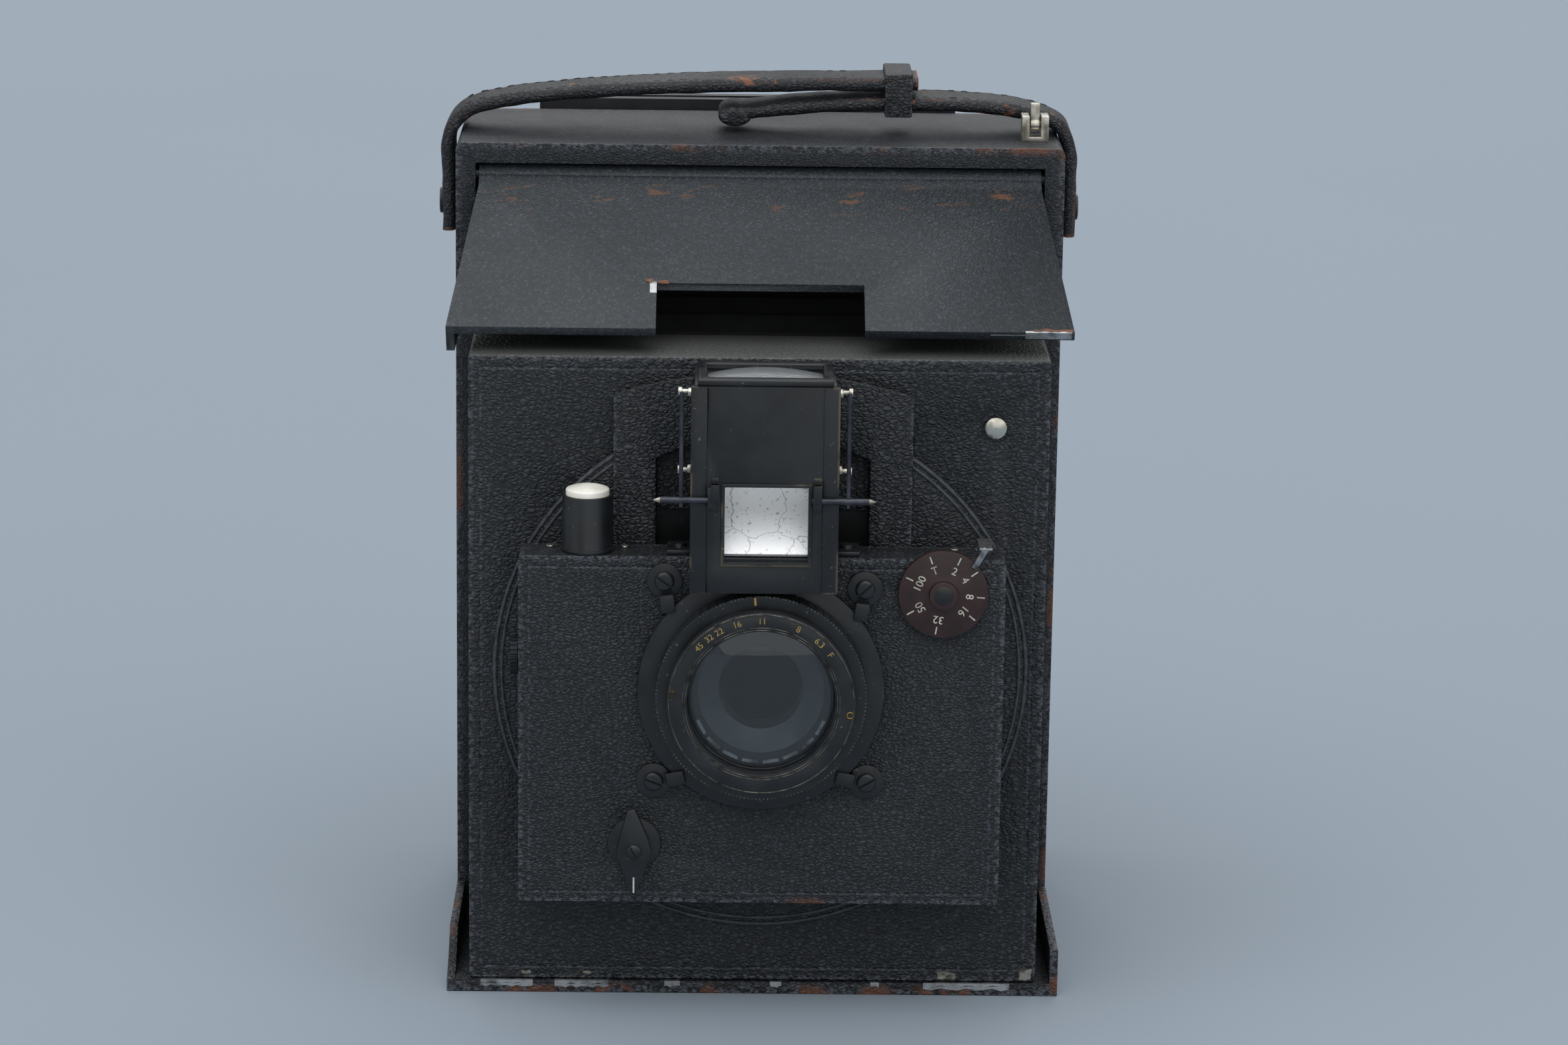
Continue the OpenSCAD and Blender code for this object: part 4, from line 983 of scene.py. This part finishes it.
# %% Milled edge of the iris ring
ring_low, ring_high = lo("iris_ring"), hi("iris_ring")
ring_r = (ring_high[0] - ring_low[0]) / 2
TEETH = 168
TOOTH_HALF, TOOTH_PROUD, TOOTH_LONG, TOOTH_TALL, TOOTH_INSET = 0.13, 0.04, 0.5, 0.45, 0.03
teeth = []
for i in range(TEETH):
    tooth = block(LENS_X - TOOTH_HALF, LENS_X + TOOTH_HALF, ring_low[1] - TOOTH_PROUD, ring_low[1] + TOOTH_LONG,
                  LENS_Z + ring_r - TOOTH_TALL, LENS_Z + ring_r - TOOTH_INSET)
    teeth.append(turned(tooth, i * 360 / TEETH, LENS_X, LENS_Z))
# The pale tips are worn metal and partly a painted highlight
settle(join(teeth), "milled_ring_teeth", "iris_ring", "black_lacquer",
       plated("rubbed_milling_and_highlight", "#75746f", "#33322f", 0.4, 0.7, 300.0))
print("teeth:", TEETH)

# %% [markdown]
# ## Figures on the dials
# The figures are engraved and filled with gilt or white paint. An image of them would blur and would
# need unfolding. So each is a text object turned about the dial's centre, given a hair of thickness so
# that it is a closed solid, made a mesh and joined with the rest.

# %% Figures and marks
FIGURE_THICK = 0.05
CAPITAL_SHARE = 0.7
DIAL_X, DIAL_Z = 44.8, 108.7
HUB_RISE = 1.6
SPEED_TALL, SPEED_R = 1.9, 6.3
TICK_LONG, TICK_WIDE, TICK_R = 1.9, 0.32, 9.1
STOP_TALL, STOP_R = 1.5, 20.6
INDEX_WIDE, INDEX_R, INDEX_ANGLE = 0.5, 24.3, -4


def figure(words, height_mm, radius, angle, x, z, face_y):
    """One figure on a circle round x and z, at an angle clockwise from the top, on a face towards -Y."""
    deselect()
    spin = math.radians(angle)
    bpy.ops.object.text_add(location=((x + radius * math.sin(spin)) * MM, (face_y - FIGURE_THICK / 2) * MM,
                                      (z + radius * math.cos(spin)) * MM),
                            rotation=(math.pi / 2, spin, 0))
    text = active().data
    text.body = words
    text.size = height_mm / CAPITAL_SHARE * MM
    text.align_x = "CENTER"
    text.align_y = "CENTER"
    text.extrude = FIGURE_THICK / 2 * MM
    text.resolution_u = 4
    bpy.ops.object.convert(target="MESH")
    return apply_place()


def tick(length_mm, width_mm, radius, angle, x, z, face_y):
    """A radial mark whose middle lies on a circle."""
    mark = block(x - width_mm / 2, x + width_mm / 2, face_y - FIGURE_THICK, face_y + 0.01,
                 z + radius - length_mm / 2, z + radius + length_mm / 2)
    return turned(mark, angle, x, z)


dial_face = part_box("speed_dial")[0][1] / MM + HUB_RISE
SPEEDS = [("T", -20), ("2", 24), ("4", 55), ("8", 94), ("16", 129), ("32", 190), ("50", 240), ("100", 295)]
marks = [figure(words, SPEED_TALL, SPEED_R, angle, DIAL_X, DIAL_Z, dial_face) for words, angle in SPEEDS]
marks += [tick(TICK_LONG, TICK_WIDE, TICK_R, angle, DIAL_X, DIAL_Z, dial_face) for words, angle in SPEEDS]
settle(join(marks), "speed_figures", "speed_dial", "dial_brown", PALE_INK)

STOPS = [("45", -47), ("32", -38), ("22", -30), ("16", -17), ("11", 0), ("8", 25), ("6.3", 42), ("F", 53)]
marks = [figure(words, STOP_TALL, STOP_R, angle, LENS_X, LENS_Z, rim_face) for words, angle in STOPS]
settle(join(marks), "stop_figures", "rising_front", "black_lacquer", GILT)
index = tick(TICK_LONG, INDEX_WIDE, INDEX_R, INDEX_ANGLE, LENS_X, LENS_Z, ring_low[1])
settle(index, "stop_index", "iris_ring", "black_lacquer", GILT)
print("figures:", len(SPEEDS) + len(STOPS))

# %% [markdown]
# ## Spanner holes and the key's line
# Two spanner holes with bright brass rims let a key turn the front cell out. The rims are what catches
# the eye, so each is a small ring, and the dark lacquer inside it reads as the hole. The setting key
# carries a white line at its lower tip, which is a thin inlaid bar.

# %% Spanner holes and key line
HOLE_ANGLES, HOLE_AT_R, HOLE_R, HOLE_RIM = (-84, 97), 21.6, 0.75, 0.16
KEY_X, KEY_LINE_HALF, KEY_LINE_Z = -29.6, 0.2, (32.6, 36.6)
eyelets = [torus(HOLE_R, HOLE_RIM, LENS_X + HOLE_AT_R * math.sin(math.radians(angle)), rim_face - 0.02,
                 LENS_Z + HOLE_AT_R * math.cos(math.radians(angle)), 24) for angle in HOLE_ANGLES]
settle(join(eyelets), "spanner_eyelets", "rising_front", "brass", BRASS)

key_face = lo("setting_knob")[1]
key_line = ease_edges(block(KEY_X - KEY_LINE_HALF, KEY_X + KEY_LINE_HALF, key_face - 0.05, key_face + 0.02,
                            *KEY_LINE_Z), 0.02)
settle(key_line, "setting_key_line", "setting_key", "black_lacquer", PALE_INK)
print("eyelets:", len(HOLE_ANGLES), "and one line on the key")

# %% [markdown]
# ## The dial's hub and the key's screw
# Both are low turned domes that catch one soft highlight. Half a ball would stand too high, so a ball
# is flattened first and then cut in two by a plane, which leaves a closed shape with a flat back. A
# thin box cuts the slot of the screw.

# %% Dial hub and key screw
HUB_R, HUB_DOME_R, HUB_DOME_RISE = 3.5, 3.3, 1.5
KEY_Z, KEY_SCREW_R, KEY_SCREW_RISE, KEY_SLOT_HALF, KEY_SLOT_ANGLE = 43.0, 1.9, 0.7, 0.2, 60


def dome(radius, rise, x, y, z):
    """A low dome that faces the viewer, in mm, with its flat back at y."""
    deselect()
    bpy.ops.mesh.primitive_uv_sphere_add(segments=48, ring_count=24, radius=radius * MM,
                                         location=(x * MM, y * MM, z * MM), rotation=(math.pi / 2, 0, 0))
    active().scale = (1.0, 1.0, rise / radius)
    piece = apply_place()
    whole_mesh(piece)
    bpy.ops.mesh.bisect(plane_co=(0, y * MM, 0), plane_no=(0, 1, 0), use_fill=True, clear_outer=True)
    bpy.ops.object.mode_set(mode="OBJECT")
    bpy.ops.object.shade_smooth_by_angle(angle=math.radians(50))
    return piece


hub = join([ease_edges(disc(HUB_R, dial_face - 0.6, dial_face + 0.02, DIAL_X, DIAL_Z), 0.2),
            dome(HUB_DOME_R, HUB_DOME_RISE, DIAL_X, dial_face - 0.55, DIAL_Z)])
settle(hub, "domed_dial_hub", "speed_dial", "black_lacquer",
       lacquer("lacquered_dial_hub", (41, -99, 105), (48, -96, 112), wear=0.1))
key_screw = dome(KEY_SCREW_R, KEY_SCREW_RISE, KEY_X, key_face + 0.02, KEY_Z)
key_slot = block(KEY_X - 3, KEY_X + 3, key_face - 2, key_face - 0.25, KEY_Z - KEY_SLOT_HALF, KEY_Z + KEY_SLOT_HALF)
cut(key_screw, turned(key_slot, KEY_SLOT_ANGLE, KEY_X, KEY_Z))
settle(key_screw, "setting_key_screw", "setting_key", "black_lacquer",
       lacquer("lacquered_key_screw", (-32, -99, 41), (-27, -97, 45), wear=0.1))
print("domes:", hub.name, "and", key_screw.name)

# %% [markdown]
# ## The beads round the disc
# The leather of the revolving disc is pressed into two fine raised beads near its rim. They could be
# relief in the material, but they show against the light from the side. So each is a thin ring, sunk
# by a little more than half.

# %% Bead round the disc
BEADS = [(65.3, 0.5), (63.7, 0.45)]
BEAD_SINK = 0.1
bead_y = lo("revolving_disc")[1] + BEAD_SINK
beads = [torus(radius, thick, LENS_X, bead_y, LENS_Z, 160, 10) for radius, thick in BEADS]
# The beads' paler leather tone is a painted highlight
settle(join(beads), "leather_bead_round_disc", "revolving_front", "flap_leather",
       plain("bead_leather_painted_highlight", "#26292d", "#43474d", 0.45, 500.0, 0.3))
print("beads:", len(BEADS))

# %% [markdown]
# ## The finder's front
# The mirror sits in a thin raised frame below the rods, and the panel's two sides are folded over. The
# frame could be a box with a boolean hole. A flat plate, inset by an operator so that its middle can
# be deleted and then extruded, gives cleaner faces at its corners.

# %% Mirror frame and folded edges
PANEL_STEP = 2.6
WINDOW = (-8.3, 11.7, 118.0, 136.6)
FRAME_WIDE, FRAME_THICK = 0.9, 0.5
FOLD_WIDE, FOLD_THICK = 3.9, 0.45
panel_low, panel_high = lo("finder_panel"), hi("finder_panel")
panel_face = panel_low[1] + PANEL_STEP


def window_frame(x0, x1, z0, z1, face_y, width_mm, thick_mm):
    """A raised rectangular frame on a face towards -Y."""
    deselect()
    bpy.ops.mesh.primitive_plane_add(size=1.0, rotation=(math.pi / 2, 0, 0))
    piece = active()
    piece.scale = ((x1 - x0 + 2 * width_mm) * MM, (z1 - z0 + 2 * width_mm) * MM, 1.0)
    piece.location = ((x0 + x1) / 2 * MM, face_y * MM, (z0 + z1) / 2 * MM)
    apply_place()
    whole_mesh(piece)
    bpy.ops.mesh.inset(thickness=width_mm * MM)
    bpy.ops.mesh.delete(type="ONLY_FACE")
    bpy.ops.mesh.select_all(action="SELECT")
    bpy.ops.mesh.extrude_region_move(TRANSFORM_OT_translate={"value": (0, -thick_mm * MM, 0)})
    bpy.ops.mesh.select_all(action="SELECT")
    bpy.ops.mesh.normals_make_consistent(inside=False)
    bpy.ops.object.mode_set(mode="OBJECT")
    return ease_edges(piece, 0.15)


left, right, foot, head = WINDOW
frame_low = (left - FRAME_WIDE, panel_face - FRAME_THICK, foot - FRAME_WIDE)
frame_high = (right + FRAME_WIDE, panel_face, head + FRAME_WIDE)
settle(window_frame(*WINDOW, panel_face, FRAME_WIDE, FRAME_THICK), "mirror_frame", "rising_front", "black_lacquer",
       lacquer("lacquered_mirror_frame", frame_low, frame_high, wear=0.5))
folds = [ease_edges(block(x0, x0 + FOLD_WIDE, panel_face - FOLD_THICK, panel_face + 0.1, panel_low[2] + 0.1,
                          panel_high[2] - 0.1), 0.15) for x0 in (panel_low[0], panel_high[0] - FOLD_WIDE)]
settle(join(folds), "folded_panel_edges", "rising_front", "black_lacquer",
       lacquer("lacquered_panel_folds", (panel_low[0], panel_face - FOLD_THICK, panel_low[2]),
               (panel_high[0], panel_face, panel_high[2]), wear=0.6))
print("frame and", len(folds), "folds at", round(float(panel_face), 1))

# %% [markdown]
# ## Clips for the finder's rods
# Two small hooked clips hold the finder's rods against its panel. Each is three plain bars, one along
# the panel, one over the top and one down in front of the rod. Bars are quicker to fit round a rod than
# a bent strip is, and at this size they look the same.

# %% Rod clips
ROD_Y, ROD_Z, CLIP_LEFT, CLIP_RIGHT = -104.7, 133.6, -10.7, 13.9
CLIP_HALF, CLIP_FRONT, CLIP_DOWN, CLIP_UP = 1.0, -1.4, -3.2, 5.4
# Front and back of each bar, its two heights from the rod, and its bevel
CLIP_BARS = [(ROD_Y + 1.1, panel_face + 0.1, CLIP_DOWN, CLIP_UP, 0.25),
             (ROD_Y + CLIP_FRONT, ROD_Y - 0.95, -0.4, 4.6, 0.15),
             (ROD_Y + CLIP_FRONT, ROD_Y + 1.6, 4.0, 4.6, 0.15)]
clips = [ease_edges(block(x - CLIP_HALF, x + CLIP_HALF, y0, y1, ROD_Z + down, ROD_Z + up), bevel)
         for x in (CLIP_LEFT, CLIP_RIGHT) for y0, y1, down, up, bevel in CLIP_BARS]
settle(join(clips), "rod_clips", "rising_front", "black_lacquer",
       lacquer("lacquered_rod_clips", (CLIP_LEFT - CLIP_HALF, ROD_Y + CLIP_FRONT, ROD_Z + CLIP_DOWN),
               (CLIP_RIGHT + CLIP_HALF, panel_face, ROD_Z + CLIP_UP), wear=0.3))
print("clips reach from", round(ROD_Y + CLIP_FRONT, 1), "to", round(float(panel_face), 1))

# %% [markdown]
# ## Pin heads and rod tips
# The finder's arms turn on bright nickel pins with small heads, and its rods end in blunt points. A
# cylinder for the shank and a wider one for the head make a pin, and a cone makes a tip.

# %% Pin heads and rod tips
PIN_HEADS = [(-1, 139.6), (-1, 158.8), (1, 139.6), (1, 158.8)]
# Radius, and the two ends measured outwards from the bracket
PIN_STEPS = ((0.6, -0.3, 2.2), (1.1, 1.3, 2.3))
TIP_R, TIP_POINT_R, TIP_LONG = 0.8, 0.15, 1.6
pin_low, pin_high = lo("finder_pivot_screws"), hi("finder_pivot_screws")
heads = []
for aim, z in PIN_HEADS:
    from_x = pin_low[0] if aim < 0 else pin_high[0]
    for radius, near, far in PIN_STEPS:
        deselect()
        bpy.ops.mesh.primitive_cylinder_add(vertices=24, radius=radius * MM, depth=(far - near) * MM,
                                            location=((from_x + aim * (near + far) / 2) * MM,
                                                      (pin_low[1] + pin_high[1]) / 2 * MM, z * MM),
                                            rotation=(0, math.pi / 2, 0))
        heads.append(ease_edges(apply_place(), 0.15))
settle(join(heads), "finder_pin_heads", "rising_front", "nickel", NICKEL)
tips = []
for x, aim in ((lo("finder_arms")[0], -1), (hi("finder_arms")[0], 1)):
    deselect()
    bpy.ops.mesh.primitive_cone_add(vertices=24, radius1=TIP_R * MM, radius2=TIP_POINT_R * MM,
                                    depth=TIP_LONG * MM,
                                    location=((x + aim * TIP_LONG / 2) * MM, ROD_Y * MM, ROD_Z * MM),
                                    rotation=(0, aim * math.pi / 2, 0))
    tips.append(ease_edges(apply_place(), 0.08))
settle(join(tips), "finder_rod_tips", "finder_arms", "nickel", NICKEL)
print("pins:", len(PIN_HEADS), "tips:", len(tips))

# %% [markdown]
# ## Rubbed metal on the base flap
# The front edge of the base flap has lost its leather in patches, and pale aluminium shows. A mask in
# the leather could paint them, but bare metal also reflects and lies a little lower than the skin. So
# each patch is a thin worn plate that wraps the edge, with its outline left uneven by two waves.

# %% Bare patches
BARE_SPOTS = [(-68, -55, 1.7), (-49.5, -36, 1.8), (-22, -18.2, 1.3), (4.4, 7.3, 1.2), (29.6, 31.8, 1.0),
              (42.8, 64.5, 1.6)]
FLAP_TOP = 3.02
# Radians in a metre, where it starts, and depth in mm of each wave along the torn edge
WAVES = ((1900, 0, 0.3), (4700, 1, 0.2))
flap_front = lo("base_flap")[1]


def subdivide(piece, cuts):
    """Splits every edge of a piece, to give it points to move."""
    whole_mesh(piece)
    bpy.ops.mesh.subdivide(number_cuts=cuts)
    bpy.ops.object.mode_set(mode="OBJECT")


patches = []
for x0, x1, tall in BARE_SPOTS:
    patch = block(x0, x1, flap_front - 0.06, flap_front + 0.9, FLAP_TOP - tall, FLAP_TOP + 0.04)
    subdivide(patch, 9)
    for v in patch.data.vertices:
        wave = sum(math.sin(v.co.x * rate + start) * depth for rate, start, depth in WAVES)
        if v.co.z < (FLAP_TOP - tall / 2) * MM:
            v.co.z += wave * tall * 0.5 * MM
        if v.co.y > (flap_front + 0.4) * MM:
            v.co.y += wave * MM
    bpy.ops.object.shade_smooth_by_angle(angle=SMOOTH_ANGLE)
    patches.append(patch)
settle(join(patches), "bare_edge_patches", "case", "nickel", BARE_METAL)
print("patches:", len(patches))

# %% [markdown]
# ## Chips along the foot of the front box
# The lower edge of the front box rubs on the base flap, and four spots have worn through to dusty
# metal. Each is a thin plate on the face whose points a noise has moved, so that no chip looks square.

# %% Bare spots on the front box
# Share of the box's width, width, height, and distance above its foot
CHIPS = [(0.843, 4.6, 1.9, 0.5), (0.983, 3.0, 2.9, 0.4), (0.10, 2.4, 0.9, 1.0), (0.21, 2.8, 0.6, 1.2)]
CORNER_ROOM = 0.9
RAG_UP, RAG_SIDE, RAG_START = (800, 0.5), (700, 0.6), Vector((5, 0, 0))
box_low, box_high = lo("front_box"), hi("front_box")
chips = []
for share, wide, tall, up in CHIPS:
    x = box_low[0] + share * (box_high[0] - box_low[0])
    z = box_low[2] + up
    chip = block(x - wide / 2, min(x + wide / 2, box_high[0] - CORNER_ROOM), box_low[1] - 0.05, box_low[1] + 0.3,
                 z, z + tall)
    subdivide(chip, 6)
    for v in chip.data.vertices:
        v.co.z += noise.noise(v.co * RAG_UP[0]) * RAG_UP[1] * MM
        v.co.x += noise.noise(v.co * RAG_SIDE[0] + RAG_START) * RAG_SIDE[1] * MM
    chips.append(chip)
settle(join(chips), "bare_front_box_chips", "front", "nickel",
       plated("dusty_aluminium", "#9c9c92", "#5b574e", 0.5, 0.6, 500.0))
print("chips:", len(chips))

# %% [markdown]
# ## Bare metal and torn leather on the top flap
# The lid has lost its leather at one corner and beside its notch, and brown scraps of hide stand up
# behind the bare plate. The lid slopes, so these pieces are first made lying flat, measured from its
# hinge, and one matrix then turns them onto the slope. Measuring along the slope would be harder.

# %% Bare metal on the top flap
HINGE_Y, HINGE_Z, FLAP_RUN, FLAP_FALL = -24.0, 197.8, 50.0, 29.8
FLAP_EDGE = -math.hypot(FLAP_RUN, FLAP_FALL)
FLAP_TILT = math.atan2(FLAP_FALL, FLAP_RUN)
FLAP_TURN = Matrix.Translation((0, HINGE_Y * MM, HINGE_Z * MM)) @ Matrix.Rotation(FLAP_TILT, 4, "X")
NOTCH_X, NOTCH_RUN = 25.5, 16.5
NOTCH_END = FLAP_EDGE + NOTCH_RUN
METAL_BOXES = [(64.5, 75.8, FLAP_EDGE - 0.05, FLAP_EDGE + 0.5, -0.85, 1.22),
               (56, 65, FLAP_EDGE - 0.04, FLAP_EDGE + 0.5, 0.1, 0.45),
               (-NOTCH_X - 1.6, -NOTCH_X + 0.05, NOTCH_END - 3.6, NOTCH_END + 0.6, 0.6, 1.26)]
SCRAP_BOXES = [(66.5, 76.2, FLAP_EDGE + 0.45, FLAP_EDGE + 1.1, 0.75, 1.3),
               (-NOTCH_X - 2.6, -NOTCH_X - 1.0, NOTCH_END + 0.2, NOTCH_END + 1.3, 1.05, 1.32),
               (-NOTCH_X + 0.4, -NOTCH_X + 3.0, NOTCH_END - 0.1, NOTCH_END + 0.8, 1.05, 1.3)]
flap_metal = [block(*corners) for corners in METAL_BOXES]
for patch in flap_metal:
    patch.data.transform(FLAP_TURN)
settle(join(flap_metal), "bare_flap_corners", "top_flap", "nickel", BARE_METAL)
scraps = [block(*corners) for corners in SCRAP_BOXES]
for scrap in scraps:
    subdivide(scrap, 7)
    for v in scrap.data.vertices:
        v.co.y += noise.noise(v.co * 900) * 0.5 * MM
    scrap.data.transform(FLAP_TURN)
settle(join(scraps), "torn_flap_leather", "top_flap", "flap_leather",
       plain("raw_torn_hide", "#7a4a2e", "#4a2c1d", 0.6, 420.0, 0.4))
print("bare plates:", len(METAL_BOXES), "scraps:", len(SCRAP_BOXES))

# %% [markdown]
# ## The floor
# The camera stands on a plain pale floor. A curved backdrop would hide the far edge, but a wide plane
# reaches past the picture and is simpler. It lies a hair below the part, so that the two don't flicker.

# %% Floor
FLOOR_SIZE, FLOOR_Z = 12.0, -0.0002
deselect()
bpy.ops.mesh.primitive_plane_add(size=FLOOR_SIZE, location=(0, 0, FLOOR_Z))
floor = active()
floor.name = "studio_floor"
floor_finish, floor_tree, floor_shader, floor_place = blank("pale_studio_floor")
floor_tone = blend_colours(floor_tree, clouds(floor_tree, floor_place, 3.0, 2.0), ink("#8b96a1"), ink("#88939e"))
floor_tree.links.new(floor_tone, floor_shader.inputs["Base Color"])
floor_shader.inputs["Roughness"].default_value = 0.85
dress(floor, floor_finish)
print("floor:", FLOOR_SIZE, "m wide")

# %% [markdown]
# ## Light
# One broad soft source from above lights the part, with weak reflectors on both sides and a softer one
# behind. They are suns with a wide angle, which light the floor evenly because they have no distance,
# where area lamps would leave a bright pool. The pale surround shows its seen tone only to the camera
# and through glass, and everything else meets its lighter tone.

# %% Surround and lamps
world = bpy.data.worlds.new("pale_surround")
bpy.context.scene.world = world
world.use_nodes = True
sky = world.node_tree
sky.nodes.clear()
lit = put(sky, "ShaderNodeBackground", {"Color": ink("#dfe5ea"), "Strength": 0.42})
seen = put(sky, "ShaderNodeBackground", {"Color": ink("#a0adb9"), "Strength": 1.0})
rays = put(sky, "ShaderNodeLightPath").outputs
shows = combine(sky, "MAXIMUM", rays["Is Camera Ray"], rays["Is Transmission Ray"])
either = put(sky, "ShaderNodeMixShader", {0: shows, 1: lit.outputs[0], 2: seen.outputs[0]})
world_out = put(sky, "ShaderNodeOutputWorld")
sky.links.new(either.outputs[0], world_out.inputs["Surface"])

# Name, direction it comes from, its angle in degrees, and its strength
SUNS = [("overhead_softbox", (-0.2, -0.45, 1.5), 75.0, 2.1), ("front_reflector", (0.3, -1.5, 0.55), 60.0, 0.5),
        ("left_reflector", (-1.3, -0.8, 0.7), 50.0, 0.25), ("right_reflector", (1.3, -0.8, 0.9), 50.0, 0.4),
        ("back_softbox", (0.1, 1.0, 0.9), 50.0, 0.7)]
for name, spot, softness, strength in SUNS:
    lamp = bpy.data.lights.new(name, "SUN")
    lamp.angle = math.radians(softness)
    lamp.energy = strength
    holder = bpy.data.objects.new(name, lamp)
    bpy.context.scene.collection.objects.link(holder)
    holder.location = spot
    holder.rotation_euler = (-Vector(spot)).to_track_quat("-Z", "Y").to_euler()
print("lamps:", len(SUNS))

# %% [markdown]
# ## The last cell
# The last cell only imports the json module.

# %% Finish
import json
